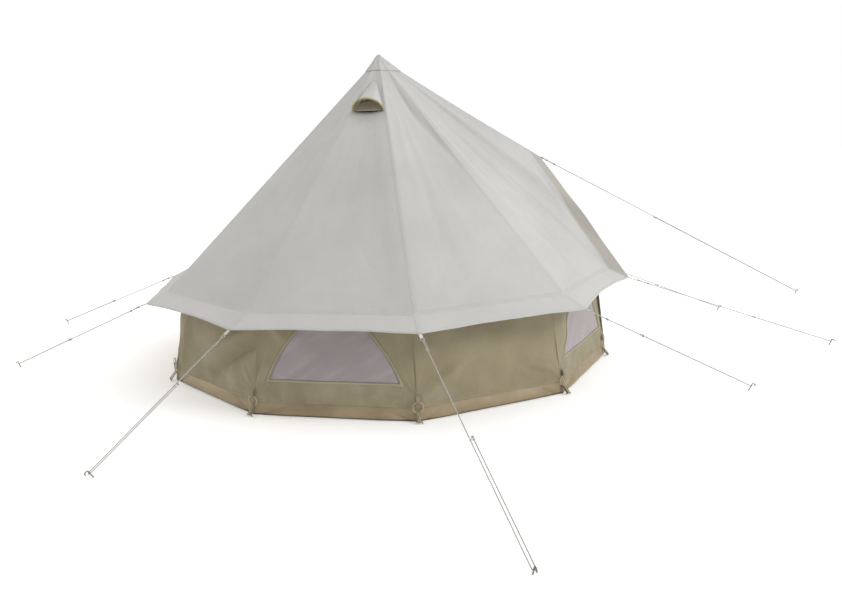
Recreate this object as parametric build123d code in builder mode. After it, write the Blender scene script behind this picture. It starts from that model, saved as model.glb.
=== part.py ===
"""Bell tent: a ten-sided canvas cone on low walls, with a centre pole and an A-frame door.

Units are millimetres.  +Z is up, +X points out of the door, and the origin is at the
middle of the floor, on the ground.
"""

from build123d import *
from math import asin, atan2, cos, degrees, pi, radians, sin
import os

os.makedirs("parts", exist_ok=True)

# ---------------------------------------------------------------- driving dimensions
side_count = 10
side_angle = 360 / side_count

floor_radius = 2300  # to a corner of the wall at the ground
wall_lean = 140  # the walls lean in by this much where they meet the roof
apex_height = 3000
seam_radius = floor_radius - 20  # to a corner of the seam where the eave hangs from the roof
seam_height = 890
eave_reach = 220  # of the eave beyond that seam
eave_drop = 105  # of the eave below it
door_ridge_length = 1550  # from the centre pole to the top of the door
door_ridge_fall = 950  # from the apex down to the top of the door
door_ridge_height = apex_height - door_ridge_fall
door_hood_reach = 120  # the ridge runs on past the door as a small hood

canvas_thickness = 2
seam_inset = 2  # a sheet stops this short of the line it shares with its neighbour
layer_gap = 0.6  # between sheets that lie on each other

lip_height = 115
lip_thickness = 2
lip_overlap = 12  # the wall's hem hangs this far down outside the groundsheet's lip
lip_inset = 3  # the lip's pieces stop this short of each corner
floor_thickness = 2
sill_height = 60
sill_gap = 4  # behind the door
sill_inset = 8
wall_head_gap = 8  # under the roof

window_bottom_width = 1146
window_top_width = 530
window_bottom_height = 300
window_height = 460
window_bow = 26  # the sides of the window bulge out by this much
mesh_thickness = 1
mesh_clearance = 1
mesh_setback = 0.5
flap_setback = 9  # the flap closes this far behind the wall's outer face
flap_widest_drop = 118  # in degrees, where the floor leaves room for it
flap_floor_gap = 15  # between the dropped flap and the ground
flap_margin = 10
flap_hinge_drop = 5  # the hinge runs this far under the window

vent_sides = (3, 7)
window_sides = (1, 3, 7, 9)
vent_width = 304
vent_length = 190  # of the hole under the hood, with its margins, up the slope
vent_rise = 150  # of the hood's mouth out of the roof
vent_hood_length = 400
vent_hood_taper = 19
vent_margin = 20  # of the hood round the hole under it
vent_drop = 750  # from the apex down the slope to the vent's mouth
vent_shell = 2.5

cap_lift = 3
cap_thickness = 2
cap_height = 145

pole_radius = 19
pole_wall = 1.5
pole_joint_heights = (1000, 2000)
pole_spigot_length = 80
pole_spigot_clearance = 0.3
pole_foot_radius = 32
pole_foot_height = 36
pole_foot_base = 6
pole_foot_taper = 12
pole_tip_radius = 21
pole_tip_height = 34
pole_tip_taper = 28
pole_tip_plug = 60
pole_top_gap = 62  # from the canvas apex down to the end of the steel

frame_radius = 11
frame_wall = 1.5
frame_setback = 30  # the A-frame stands this far behind the door's canvas
frame_elbow_arm = 70
frame_plug_length = 60
frame_plug_clearance = 0.2
frame_foot_radius = 14
frame_foot_height = 28
frame_foot_base = 13  # of rubber under the steel, along the leg

door_ground_gap = 14
door_meeting_gap = 1.5  # from the middle to each leaf
door_side_inset = 5  # the panels beside the door stop this short of the roof and the wall
zip_slider_length = 34
zip_slider_width = 12
zip_slider_thickness = 7
zip_slider_height = 60
zip_tab_length = 46
zip_tab_width = 8
zip_tab_thickness = 2
zip_clearance = 0.6

tab_width = 25
tab_thickness = 1.6
tab_length = 46
tab_height = 9.6
tab_gap = 6
ring_radius = 16
ring_wire = 2.5
ring_reach = 20  # from the tab's outer end to the ring's middle
rope_start_gap = 2

rope_radius = 4
rope_leg_spacing = 24
rope_turn_radius = 11
rope_peg_height = 34
guy_peg_radius = 5
guy_peg_gap = 1.2
guy_peg_length = 230
guy_peg_rise = 26  # above the rope
guy_peg_hook = 30
guy_peg_hook_drop = 16
guy_peg_bend = 9

runner_width = 21  # across the flat pair of holes
runner_thickness = 7
runner_hole_clearance = 0.6
tail_length = 22  # of rope past the runner

peg_ring_radius = 44
peg_ring_wire = 4
peg_ring_height = 122
peg_ring_distance = 14
strap_width = 30
strap_thickness = 2
strap_room = 13  # inside a strap's loop, across it
strap_slack = 2  # from a ring's wire to the middle of the loop's round end
hanger_length = 66
ground_strap_length = 100
ground_strap_angle = 42  # from upright, outwards
door_peg_offset = 110  # the pegs beside the door stand this far round from its corners
wall_peg_radius = 4.5
wall_peg_length = 200
wall_peg_overhang = 12  # past each edge of the strap
wall_peg_bend = 9

# ---------------------------------------------------------------- the tent's skeleton
inside_point = Vector(0, 0, apex_height / 2)
up = Vector(0, 0, 1)
eave_tip_radius = seam_radius + eave_reach
eave_tip_height = seam_height - eave_drop
wall_head_radius = floor_radius - wall_lean
wall_join_height = apex_height - (apex_height - seam_height) * wall_head_radius / seam_radius


def corner(index, radius, height):
    """A corner of the ten-sided plan.  The door is the side from corner 0 to corner 1."""
    angle = radians((index - 0.5) * side_angle)
    return Vector(radius * cos(angle), radius * sin(angle), height)


apex = Vector(0, 0, apex_height)
door_top = Vector(door_ridge_length, 0, door_ridge_height)
ridge_slope = (apex_height - door_ridge_height) / door_ridge_length
hood_tip = door_top + Vector(door_hood_reach, 0, -ridge_slope * door_hood_reach)
door_base = [corner(0, floor_radius, 0), corner(1, floor_radius, 0)]
door_threshold = (door_base[0] + door_base[1]) * 0.5


def between(start, end, share):
    return start + (end - start) * share


def outward_plane(points):
    """The plane through three points, its normal away from the inside of the tent."""
    normal = (points[1] - points[0]).cross(points[2] - points[0]).normalized()
    if normal.dot(points[0] - inside_point) < 0:
        normal = normal * -1
    return Plane(origin=points[0], x_dir=points[1] - points[0], z_dir=normal)


def flat_sheet(points, thickness=canvas_thickness, setback=0, inset=seam_inset):
    """A flat sheet whose outer face spans the points, a setback behind them."""
    plane = outward_plane(points)
    outline = [plane.to_local_coords(point) for point in points]
    with BuildPart() as sheet:
        with BuildSketch(plane.offset(-setback)):
            with BuildLine():
                Polyline(*[(point.X, point.Y) for point in outline], close=True)
            make_face()
            offset(amount=-inset, kind=Kind.INTERSECTION)
        extrude(amount=-thickness)
    return sheet.part


def save(built, name):
    built.part.label = name
    export_step(built.part, f"parts/{name}.step")


# ---------------------------------------------------------------- groundsheet
lip_setback = canvas_thickness + layer_gap
floor_setback = lip_setback + lip_thickness + layer_gap
floor_corner = floor_radius - floor_setback / cos(radians(side_angle / 2))

with BuildPart() as groundsheet_floor:
    with BuildSketch():
        RegularPolygon(floor_corner, side_count, rotation=side_angle / 2)
    extrude(amount=floor_thickness)
save(groundsheet_floor, "groundsheet_floor")


def wall_points(side, low, high):
    """The four corners of a wall side between two heights, along the wall's slope."""
    points = []
    for index, height in ((side, low), (side + 1, low), (side + 1, high), (side, high)):
        foot = corner(index, floor_radius, 0)
        head = corner(index, wall_head_radius, wall_join_height)
        points.append(between(foot, head, height / wall_join_height))
    return points


with BuildPart() as groundsheet_lip:
    for side in range(1, side_count):
        add(flat_sheet(wall_points(side, -seam_inset, lip_height), lip_thickness, lip_setback, lip_inset))
    split(bisect_by=Plane.XY, keep=Keep.TOP)
save(groundsheet_lip, "groundsheet_lip")

sill_share = sill_height / door_ridge_height
sill_points = [
    door_base[0],
    door_base[1],
    between(door_base[1], door_top, sill_share),
    between(door_base[0], door_top, sill_share),
]
with BuildPart() as door_sill:
    add(flat_sheet(sill_points, lip_thickness, canvas_thickness + sill_gap, sill_inset))
    split(bisect_by=Plane.XY, keep=Keep.TOP)
save(door_sill, "door_sill")

# ---------------------------------------------------------------- walls and windows
wall_foot_height = lip_height - lip_overlap
wall_head_height = wall_join_height - wall_head_gap


def wall_sheet(side):
    return flat_sheet(wall_points(side, wall_foot_height, wall_head_height))


def wall_plane(side, setback):
    """A plane on the wall, X along it, Y up it and its origin in the middle at the ground."""
    feet = between(corner(side, floor_radius, 0), corner(side + 1, floor_radius, 0), 0.5)
    heads = [corner(index, wall_head_radius, wall_join_height) for index in (side, side + 1)]
    along = corner(side + 1, floor_radius, 0) - corner(side, floor_radius, 0)
    rise = between(heads[0], heads[1], 0.5) - feet
    return Plane(origin=feet, x_dir=along, z_dir=along.cross(rise)).offset(-setback)


def window_face_on(plane, margin):
    """The window's outline, a trapezoid with bowed sides, grown by a margin."""
    with BuildSketch(plane) as outline:
        with BuildLine():
            low = window_bottom_height
            high = window_bottom_height + window_height
            wide = window_bottom_width / 2
            narrow = window_top_width / 2
            side_x = (wide + narrow) / 2 + window_bow
            side_y = (low + high) / 2 + window_bow / 2
            Line((-wide, low), (wide, low))
            ThreePointArc((wide, low), (side_x, side_y), (narrow, high))
            Line((narrow, high), (-narrow, high))
            ThreePointArc((-narrow, high), (-side_x, side_y), (-wide, low))
        make_face()
        if margin:
            offset(amount=margin, kind=Kind.INTERSECTION)
    return outline.sketch.face()


with BuildPart() as plain_wall_panels:
    for side in range(1, side_count):
        if side not in window_sides:
            add(wall_sheet(side))
save(plain_wall_panels, "plain_wall_panels")

with BuildPart() as window_wall_panels:
    for side in window_sides:
        add(wall_sheet(side))
    for side in window_sides:
        window_face = window_face_on(wall_plane(side, -canvas_thickness), 0)
        extrude(to_extrude=window_face, amount=-3 * canvas_thickness, mode=Mode.SUBTRACT)
save(window_wall_panels, "window_wall_panels")

with BuildPart() as window_meshes:
    for side in window_sides:
        window_face = window_face_on(wall_plane(side, mesh_setback), -mesh_clearance)
        extrude(to_extrude=window_face, amount=-mesh_thickness)
save(window_meshes, "window_meshes")


flap_length = window_height + flap_margin + flap_hinge_drop
flap_hinge_height = window_bottom_height - flap_hinge_drop
flap_fall_share = min((flap_hinge_height - flap_floor_gap) / flap_length, 1)
wall_angle = degrees(atan2(wall_join_height, wall_lean * cos(radians(side_angle / 2))))
flap_drop_angle = min(flap_widest_drop, wall_angle + degrees(asin(flap_fall_share)))


def flap_hinge(side):
    """The axis along the window's lower edge, about which its flap drops inwards."""
    plane = wall_plane(side, flap_setback)
    middle = plane.from_local_coords((0, flap_hinge_height, 0))
    return Axis(middle, plane.x_dir)


for number, side in enumerate(window_sides, start=1):
    flap_axis = flap_hinge(side)
    with BuildPart() as window_flap:
        flap_face = window_face_on(wall_plane(side, flap_setback), flap_margin)
        extrude(to_extrude=flap_face, amount=-canvas_thickness)
    window_flap.part = window_flap.part.rotate(flap_axis, -flap_drop_angle)
    save(window_flap, f"window_flap_{number}")

# ---------------------------------------------------------------- roof
def roof_points(side):
    return [
        apex,
        corner(side, seam_radius, seam_height),
        corner(side + 1, seam_radius, seam_height),
    ]


def vent_plane(side, setback=0):
    """A plane on the roof at the middle of the vent's mouth, Y up the slope."""
    points = roof_points(side)
    eave_middle = between(points[1], points[2], 0.5)
    slope_up = (apex - eave_middle).normalized()
    along = (points[2] - points[1]).normalized()
    mouth = apex - slope_up * vent_drop
    return Plane(origin=mouth, x_dir=along, z_dir=along.cross(slope_up)).offset(-setback)


def vent_arch(width, length):
    """Half of an ellipse, flat across the mouth and round up the slope."""
    Ellipse(width / 2, length)
    Rectangle(width * 2, length * 2, align=(Align.CENTER, Align.MAX), mode=Mode.SUBTRACT)


with BuildPart() as roof_panels:
    for side in range(1, side_count):
        if side not in vent_sides:
            add(flat_sheet(roof_points(side)))
save(roof_panels, "roof_panels")

vent_hole_width = vent_width - 2 * vent_margin
vent_hole_length = vent_length - 2 * vent_margin
vent_mesh_width = vent_hole_width - 2 * mesh_clearance
vent_mesh_length = vent_hole_length - mesh_clearance
with BuildPart() as vent_roof_panels:
    for side in vent_sides:
        add(flat_sheet(roof_points(side)))
    for side in vent_sides:
        with BuildSketch(vent_plane(side, -canvas_thickness)):
            vent_arch(vent_hole_width, vent_hole_length)
        extrude(amount=-3 * canvas_thickness, mode=Mode.SUBTRACT)
save(vent_roof_panels, "vent_roof_panels")

with BuildPart() as vent_meshes:
    for side in vent_sides:
        with BuildSketch(vent_plane(side, mesh_setback)):
            vent_arch(vent_mesh_width, vent_mesh_length)
        extrude(amount=-mesh_thickness)
save(vent_meshes, "vent_meshes")


def hood_cone(plane, half_width, rise):
    """A cone lying along the roof, its mouth across the slope and its point uphill."""
    mouth = Plane(origin=plane.origin, x_dir=plane.x_dir, z_dir=plane.y_dir)
    with BuildPart() as cone:
        with BuildSketch(mouth):
            Ellipse(half_width, rise)
        extrude(amount=vent_hood_length, taper=vent_hood_taper)
    return cone.part


with BuildPart() as vent_hoods:
    for side in vent_sides:
        hood_plane = vent_plane(side, -layer_gap)
        hood_outside = hood_cone(hood_plane, vent_width / 2, vent_rise)
        hood_inside = hood_cone(hood_plane, vent_width / 2 - vent_shell, vent_rise - vent_shell)
        hood = split(hood_outside - hood_inside, bisect_by=hood_plane, keep=Keep.TOP, mode=Mode.PRIVATE)
        add(hood)
save(vent_hoods, "vent_hoods")

with BuildPart() as door_roof_panels:
    for index in (0, 1):
        seam = corner(index, seam_radius, seam_height)
        add(flat_sheet([apex, seam, door_top]))
save(door_roof_panels, "door_roof_panels")

with BuildPart() as eave_overhangs:
    for side in range(1, side_count):
        add(
            flat_sheet(
                [
                    corner(side, seam_radius, seam_height),
                    corner(side, eave_tip_radius, eave_tip_height),
                    corner(side + 1, eave_tip_radius, eave_tip_height),
                    corner(side + 1, seam_radius, seam_height),
                ]
            )
        )
save(eave_overhangs, "eave_overhangs")

with BuildPart() as gable_flaps:
    for index in (0, 1):
        seam = corner(index, seam_radius, seam_height)
        tip = corner(index, eave_tip_radius, eave_tip_height)
        add(flat_sheet([door_top, seam, tip]))
        add(flat_sheet([door_top, tip, hood_tip]))
save(gable_flaps, "gable_flaps")

# ---------------------------------------------------------------- apex cap
cone_slope = (apex_height - seam_height) / seam_radius


def roof_core(lift):
    """The roof's outer shape near its top as one solid, raised by a lift."""
    depth = 2 * cap_height
    with BuildPart() as core:
        with BuildSketch(Plane.XY.offset(apex_height - depth + lift)) as section:
            RegularPolygon(depth / cone_slope, side_count, rotation=side_angle / 2)
            with BuildLine():
                seams = [corner(index, depth / cone_slope, 0) for index in (0, 1)]
                Polyline(
                    (0, 0),
                    (seams[0].X, seams[0].Y),
                    (depth / ridge_slope, 0),
                    (seams[1].X, seams[1].Y),
                    close=True,
                )
            make_face()
        loft(sections=[section.sketch.face(), Vertex(0, 0, apex_height + lift)])
    return core.part


with BuildPart() as apex_cap:
    add(roof_core(cap_lift + cap_thickness))
    add(roof_core(cap_lift), mode=Mode.SUBTRACT)
    split(bisect_by=Plane.XY.offset(apex_height - cap_height), keep=Keep.TOP)
save(apex_cap, "apex_cap")

# ---------------------------------------------------------------- centre pole
pole_bottom = floor_thickness + pole_foot_base
pole_top = apex_height - pole_top_gap
pole_bore = pole_radius - pole_wall
pole_spigot = pole_bore - pole_spigot_clearance


def pole_section(low, high, has_spigot):
    with BuildPart() as section:
        with BuildSketch(Plane.XY.offset(low)):
            Circle(pole_radius)
            Circle(pole_bore, mode=Mode.SUBTRACT)
        extrude(amount=high - low)
        if has_spigot:
            with BuildSketch(Plane.XY.offset(high - pole_spigot_length)):
                Circle(pole_bore)
                Circle(pole_spigot - pole_wall, mode=Mode.SUBTRACT)
            extrude(amount=pole_spigot_length)
            with BuildSketch(Plane.XY.offset(high)):
                Circle(pole_spigot)
                Circle(pole_spigot - pole_wall, mode=Mode.SUBTRACT)
            extrude(amount=pole_spigot_length)
    return section


save(pole_section(pole_bottom, pole_joint_heights[0], True), "pole_lower")
save(pole_section(pole_joint_heights[0], pole_joint_heights[1], True), "pole_middle")
save(pole_section(pole_joint_heights[1], pole_top, False), "pole_upper")

with BuildPart() as pole_foot:
    with BuildSketch(Plane.XY.offset(floor_thickness)):
        Circle(pole_foot_radius)
    extrude(amount=pole_foot_height, taper=pole_foot_taper)
    with BuildSketch(Plane.XY.offset(pole_bottom)):
        Circle(pole_radius + pole_spigot_clearance)
    extrude(amount=pole_foot_height, mode=Mode.SUBTRACT)
save(pole_foot, "pole_foot")

with BuildPart() as pole_tip:
    with BuildSketch(Plane.XY.offset(pole_top)):
        Circle(pole_tip_radius)
    extrude(amount=pole_tip_height, taper=pole_tip_taper)
    with BuildSketch(Plane.XY.offset(pole_top - pole_tip_plug)):
        Circle(pole_bore - pole_spigot_clearance)
    extrude(amount=pole_tip_plug)
save(pole_tip, "pole_tip")

# ---------------------------------------------------------------- A-frame
door_plane = outward_plane([door_base[0], door_base[1], door_top])
frame_shift = door_plane.z_dir * -frame_setback
frame_top = door_top + frame_shift
frame_bore = frame_radius - frame_wall
leg_names = ("left", "right")
leg_directions = [(door_base[index] - door_top).normalized() for index in (0, 1)]


def rod(start, end, radius):
    with BuildPart() as bar:
        with BuildSketch(Plane(origin=start, z_dir=end - start)):
            Circle(radius)
        extrude(amount=(end - start).length)
    return bar.part


leg_feet = [frame_top + step * ((floor_thickness - frame_top.Z) / step.Z) for step in leg_directions]
leg_ends = [foot - step * frame_foot_base for foot, step in zip(leg_feet, leg_directions)]
with BuildPart() as door_frame_feet:
    for foot, direction in zip(leg_feet, leg_directions):
        foot_step = direction * frame_foot_height
        add(rod(foot - foot_step, foot + foot_step, frame_foot_radius))
    split(bisect_by=Plane.XY.offset(floor_thickness), keep=Keep.TOP)
    for leg_end, direction in zip(leg_ends, leg_directions):
        leg_hole = frame_radius + frame_plug_clearance
        add(rod(leg_end, leg_end - direction * frame_foot_height, leg_hole), mode=Mode.SUBTRACT)
save(door_frame_feet, "door_frame_feet")

for name, leg_end, direction in zip(leg_names, leg_ends, leg_directions):
    leg_start = frame_top + direction * frame_elbow_arm
    with BuildPart() as door_frame_leg:
        add(rod(leg_start, leg_end, frame_radius))
        add(rod(leg_start, leg_end, frame_bore), mode=Mode.SUBTRACT)
    save(door_frame_leg, f"door_frame_leg_{name}")

with BuildPart() as door_frame_elbow:
    for direction in leg_directions:
        arm_end = frame_top + direction * frame_elbow_arm
        plug_end = arm_end + direction * frame_plug_length
        add(rod(frame_top, arm_end, frame_radius))
        add(rod(arm_end, plug_end, frame_bore - frame_plug_clearance))
    with Locations(frame_top):
        Sphere(frame_radius)
save(door_frame_elbow, "door_frame_elbow")

# ---------------------------------------------------------------- door
with BuildPart() as door_side_panels:
    for index in (0, 1):
        head = corner(index, wall_head_radius, wall_join_height)
        add(flat_sheet([door_base[index], head, door_top], canvas_thickness, 0, door_side_inset))
    split(bisect_by=Plane.XY, keep=Keep.TOP)
save(door_side_panels, "door_side_panels")

leaf_share = door_ground_gap / door_ridge_height
leaf_middle = between(door_threshold, door_top, leaf_share)
for index, name in enumerate(leg_names):
    hinge_foot = between(door_base[index], door_top, leaf_share)
    middle_step = Vector(0, door_base[index].Y, 0).normalized() * door_meeting_gap
    outline = [leaf_middle + middle_step, hinge_foot, door_top + middle_step]
    with BuildPart() as door_leaf:
        add(flat_sheet(outline))
    save(door_leaf, f"door_leaf_{name}")

# ---------------------------------------------------------------- door zip
meeting_direction = (door_top - door_threshold).normalized()
slider_middle = door_threshold + meeting_direction * zip_slider_height
with BuildPart() as door_zip_slider:
    slider_side = Vector(0, -(door_meeting_gap + seam_inset + zip_slider_width / 2), 0)
    slider_plane = Plane(
        origin=slider_middle + slider_side + door_plane.z_dir * zip_clearance,
        x_dir=(0, 1, 0),
        z_dir=door_plane.z_dir,
    )
    with BuildSketch(slider_plane):
        RectangleRounded(zip_slider_width, zip_slider_length, zip_slider_width / 3)
    extrude(amount=zip_slider_thickness)
    with BuildSketch(slider_plane.offset(zip_slider_thickness - zip_tab_thickness)):
        with Locations((0, -zip_tab_length / 2)):
            SlotOverall(zip_tab_length, zip_tab_width, rotation=90)
    extrude(amount=zip_tab_thickness)
save(door_zip_slider, "door_zip_slider")

# ---------------------------------------------------------------- guy lines
# The point on the ground where each rope goes round its peg, from the door's left
# eave tip anticlockwise, and last the rope from the hood over the door.  They are for a
# floor of guy_floor_radius and spread with it.
guy_floor_radius = 2300
guy_spread = floor_radius / guy_floor_radius
guy_ground_points = [
    (4510, -970),
    (4250, 760),
    (3180, 2350),
    (150, 4150),
    (-2450, 2980),
    (-4080, 2150),
    (-3970, 120),
    (-2420, -2920),
    (270, -4580),
    (2950, -2120),
    (5720, 1420),
]
# How far up each rope from its peg the runner sits, as a share of the rope.
runner_shares = [0.40, 0.46, 0.50, 0.42, 0.52, 0.50, 0.46, 0.62, 0.48, 0.70, 0.62]

tips = [corner(index, eave_tip_radius, eave_tip_height) for index in range(side_count)]
tips.append(hood_tip)


class Guy:
    """The line from a tip of the canvas down to its peg, and the stations along it."""

    def __init__(self, tip, ground_point, runner_share):
        self.tip = tip
        self.turn = Vector(ground_point[0], ground_point[1]) * guy_spread + up * rope_peg_height
        self.along = (self.turn - tip).normalized()
        self.across = up.cross(self.along).normalized()
        self.above = self.along.cross(self.across)
        self.tab_end = tip + self.along * (tab_gap + tab_length)
        self.ring_middle = self.tab_end + self.along * ring_reach
        self.rope_start = self.ring_middle + self.along * (ring_radius + ring_wire + rope_start_gap)
        self.peg_reach = rope_radius + guy_peg_gap + guy_peg_radius
        rope_length = (self.turn - self.rope_start).length
        self.runner_middle = self.turn - self.along * (rope_length * runner_share)
        self.tail_end = self.runner_middle + self.across * rope_leg_spacing - self.along * tail_length

    def route(self):
        return [self.rope_start, self.turn, self.turn + self.across * rope_leg_spacing, self.tail_end]


guys = [Guy(tip, ground, share) for tip, ground, share in zip(tips, guy_ground_points, runner_shares)]

with BuildPart() as eave_tabs:
    for guy in guys:
        middle = guy.tip + guy.along * (tab_gap + tab_length / 2)
        tab_plane = Plane(origin=middle - guy.across * (tab_width / 2), x_dir=guy.along, z_dir=guy.across)
        with BuildSketch(tab_plane):
            SlotOverall(tab_length, tab_height)
            SlotOverall(tab_length - 2 * tab_thickness, tab_height - 2 * tab_thickness, mode=Mode.SUBTRACT)
        extrude(amount=tab_width)
save(eave_tabs, "eave_tabs")

with BuildPart() as eave_rings:
    for guy in guys:
        ring_start = guy.ring_middle - guy.along * ring_radius
        with BuildSketch(Plane(origin=ring_start, x_dir=guy.along, z_dir=guy.across)):
            Circle(ring_wire)
        revolve(axis=Axis(guy.ring_middle, guy.above))
save(eave_rings, "eave_rings")

turn_radii = (rope_turn_radius, rope_turn_radius)
for number, guy in enumerate(guys, start=1):
    with BuildPart() as guy_rope:
        with BuildLine() as line:
            FilletPolyline(*guy.route(), radius=turn_radii)
        with BuildSketch(Plane(origin=guy.rope_start, z_dir=guy.along)):
            Circle(rope_radius)
        sweep(path=line.line)
    route_length = line.wires()[0].length
    expected = route_length * pi * rope_radius**2
    print(
        f"guy_rope_{number}: radii {turn_radii}, length {route_length:.0f},",
        f"volume {guy_rope.part.volume / expected:.4f} of section times length",
    )
    save(guy_rope, f"guy_rope_{number}")

for number, guy in enumerate(guys, start=1):
    start = guy.runner_middle + guy.across * (rope_leg_spacing / 2) - guy.along * (runner_thickness / 2)
    with BuildPart() as guy_runner:
        with BuildSketch(Plane(origin=start, x_dir=guy.across, z_dir=guy.along)):
            SlotCenterToCenter(rope_leg_spacing, runner_width)
            with Locations((-rope_leg_spacing / 2, 0), (rope_leg_spacing / 2, 0)):
                Circle(rope_radius + runner_hole_clearance, mode=Mode.SUBTRACT)
        extrude(amount=runner_thickness)
    save(guy_runner, f"guy_runner_{number}")


def hooked_pin(points, radius, bend):
    """A bent steel pin along the points, cut off level with the ground."""
    with BuildPart() as pin:
        with BuildLine() as line:
            FilletPolyline(*points, radius=bend)
        with BuildSketch(Plane(origin=points[0], z_dir=points[1] - points[0])):
            Circle(radius)
        sweep(path=line.line)
        split(bisect_by=Plane.XY, keep=Keep.TOP)
    return pin.part


with BuildPart() as guy_pegs:
    for guy in guys:
        middle = guy.turn + guy.across * (rope_leg_spacing / 2) - guy.along * guy.peg_reach
        shank = guy.above
        shank_foot = middle - shank * (guy_peg_length - guy_peg_rise)
        shank_top = middle + shank * guy_peg_rise
        hook_end = shank_top + guy.along * guy_peg_hook
        hook_tip = hook_end - shank * guy_peg_hook_drop
        add(hooked_pin([shank_foot, shank_top, hook_end, hook_tip], guy_peg_radius, guy_peg_bend))
save(guy_pegs, "guy_pegs")

# ---------------------------------------------------------------- wall pegs
def peg_station(index):
    """Where a wall peg stands: a point on the wall at the ground, outwards and sideways."""
    if index == 0:
        neighbour = -1
    elif index == 1:
        neighbour = 2
    else:
        neighbour = index
    point = corner(index, floor_radius, 0)
    outward = corner(index, floor_radius, 0) + corner(neighbour, floor_radius, 0)
    if neighbour != index:
        away_from_door = corner(neighbour, floor_radius, 0) - point
        point = point + away_from_door.normalized() * door_peg_offset
    outward = outward.normalized()
    return point, outward, up.cross(outward)


def ring_place(point, outward):
    """The middle of the ring that hangs in front of the leaning wall."""
    lean = wall_lean * peg_ring_height / wall_join_height
    return point + outward * (peg_ring_distance - lean) + up * peg_ring_height


strap_depth = strap_room + 2 * strap_thickness


def strap_loop(round_end, direction, sideways, length):
    """A flat loop of webbing that starts round one point and runs in a direction."""
    middle = round_end + direction * ((length - strap_depth) / 2)
    loop_plane = Plane(origin=middle - sideways * (strap_width / 2), x_dir=direction, z_dir=sideways)
    with BuildPart() as loop:
        with BuildSketch(loop_plane):
            SlotOverall(length, strap_depth)
            SlotOverall(length - 2 * strap_thickness, strap_room, mode=Mode.SUBTRACT)
        extrude(amount=strap_width)
    return loop.part


stations = [peg_station(index) for index in range(side_count)]
strap_lean = radians(ground_strap_angle)

with BuildPart() as wall_peg_rings:
    for point, outward, sideways in stations:
        middle = ring_place(point, outward)
        ring_start = middle + up * peg_ring_radius
        with BuildSketch(Plane(origin=ring_start, x_dir=up, z_dir=sideways)):
            Circle(peg_ring_wire)
        revolve(axis=Axis(middle, outward))
save(wall_peg_rings, "wall_peg_rings")

with BuildPart() as wall_peg_hangers:
    for point, outward, sideways in stations:
        ring_top = ring_place(point, outward) + up * peg_ring_radius
        direction = (up * wall_join_height - outward * wall_lean).normalized()
        add(strap_loop(ring_top - direction * strap_slack, direction, sideways, hanger_length))
save(wall_peg_hangers, "wall_peg_hangers")

with BuildPart() as wall_peg_straps:
    for point, outward, sideways in stations:
        direction = outward * sin(strap_lean) - up * cos(strap_lean)
        ring_foot = ring_place(point, outward) - up * peg_ring_radius
        add(strap_loop(ring_foot - direction * strap_slack, direction, sideways, ground_strap_length))
save(wall_peg_straps, "wall_peg_straps")

with BuildPart() as wall_pegs:
    for point, outward, sideways in stations:
        direction = outward * sin(strap_lean) - up * cos(strap_lean)
        ring_foot = ring_place(point, outward) - up * peg_ring_radius
        arm_middle = ring_foot + direction * (ground_strap_length - strap_depth - strap_slack)
        arm = sideways * (strap_width / 2 + wall_peg_overhang)
        shank_foot = arm_middle + arm - up * wall_peg_length
        with BuildLine() as line:
            FilletPolyline(shank_foot, arm_middle + arm, arm_middle - arm, radius=wall_peg_bend)
        with BuildSketch(Plane(origin=shank_foot, z_dir=up)):
            Circle(wall_peg_radius)
        sweep(path=line.line)
    split(bisect_by=Plane.XY, keep=Keep.TOP)
save(wall_pegs, "wall_pegs")
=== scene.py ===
"""The bell tent's looks: canvas, netting, ropes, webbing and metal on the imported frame.

Lengths are metres.  +Z is up, +X points out of the door and the origin is at the middle
of the floor, as in the frame.  A place on a side of the tent is given across the side,
from one corner to the next, and down or up it.
"""

from math import atan2, cos, exp, hypot, pi, radians, sin, sqrt

import bpy
from mathutils import Matrix, Quaternion, Vector, noise


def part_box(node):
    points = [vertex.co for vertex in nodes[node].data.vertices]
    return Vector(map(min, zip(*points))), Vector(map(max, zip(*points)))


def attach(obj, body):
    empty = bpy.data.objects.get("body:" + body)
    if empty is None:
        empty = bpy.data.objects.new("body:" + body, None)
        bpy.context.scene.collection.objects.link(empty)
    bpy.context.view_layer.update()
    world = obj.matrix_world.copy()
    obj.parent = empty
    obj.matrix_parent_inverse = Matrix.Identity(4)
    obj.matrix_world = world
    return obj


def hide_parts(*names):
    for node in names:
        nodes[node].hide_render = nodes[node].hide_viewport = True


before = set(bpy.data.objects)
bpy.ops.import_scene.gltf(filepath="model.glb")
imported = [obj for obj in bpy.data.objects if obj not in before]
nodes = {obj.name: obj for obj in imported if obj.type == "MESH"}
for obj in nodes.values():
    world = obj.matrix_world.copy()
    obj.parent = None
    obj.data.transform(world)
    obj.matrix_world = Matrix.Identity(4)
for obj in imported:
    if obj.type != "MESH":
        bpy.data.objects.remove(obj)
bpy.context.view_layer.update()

# ---------------------------------------------------------------- the tent's skeleton
SIDES = 10
SIDE_ANGLE = 2 * pi / SIDES
FLOOR_RADIUS = 2.3
SEAM_RADIUS = 2.28  # the seam between wall and roof
SEAM_HEIGHT = 0.89
EAVE_RADIUS = 2.5
EAVE_HEIGHT = 0.785
CANVAS = 0.0018

UP = Vector((0, 0, 1))
APEX = Vector((0, 0, 3.0))
DOOR_TOP = Vector((1.55, 0, 2.05))
HOOD_TIP = APEX.lerp(DOOR_TOP, 1.67 / 1.55)
INSIDE = APEX * 0.5

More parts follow.
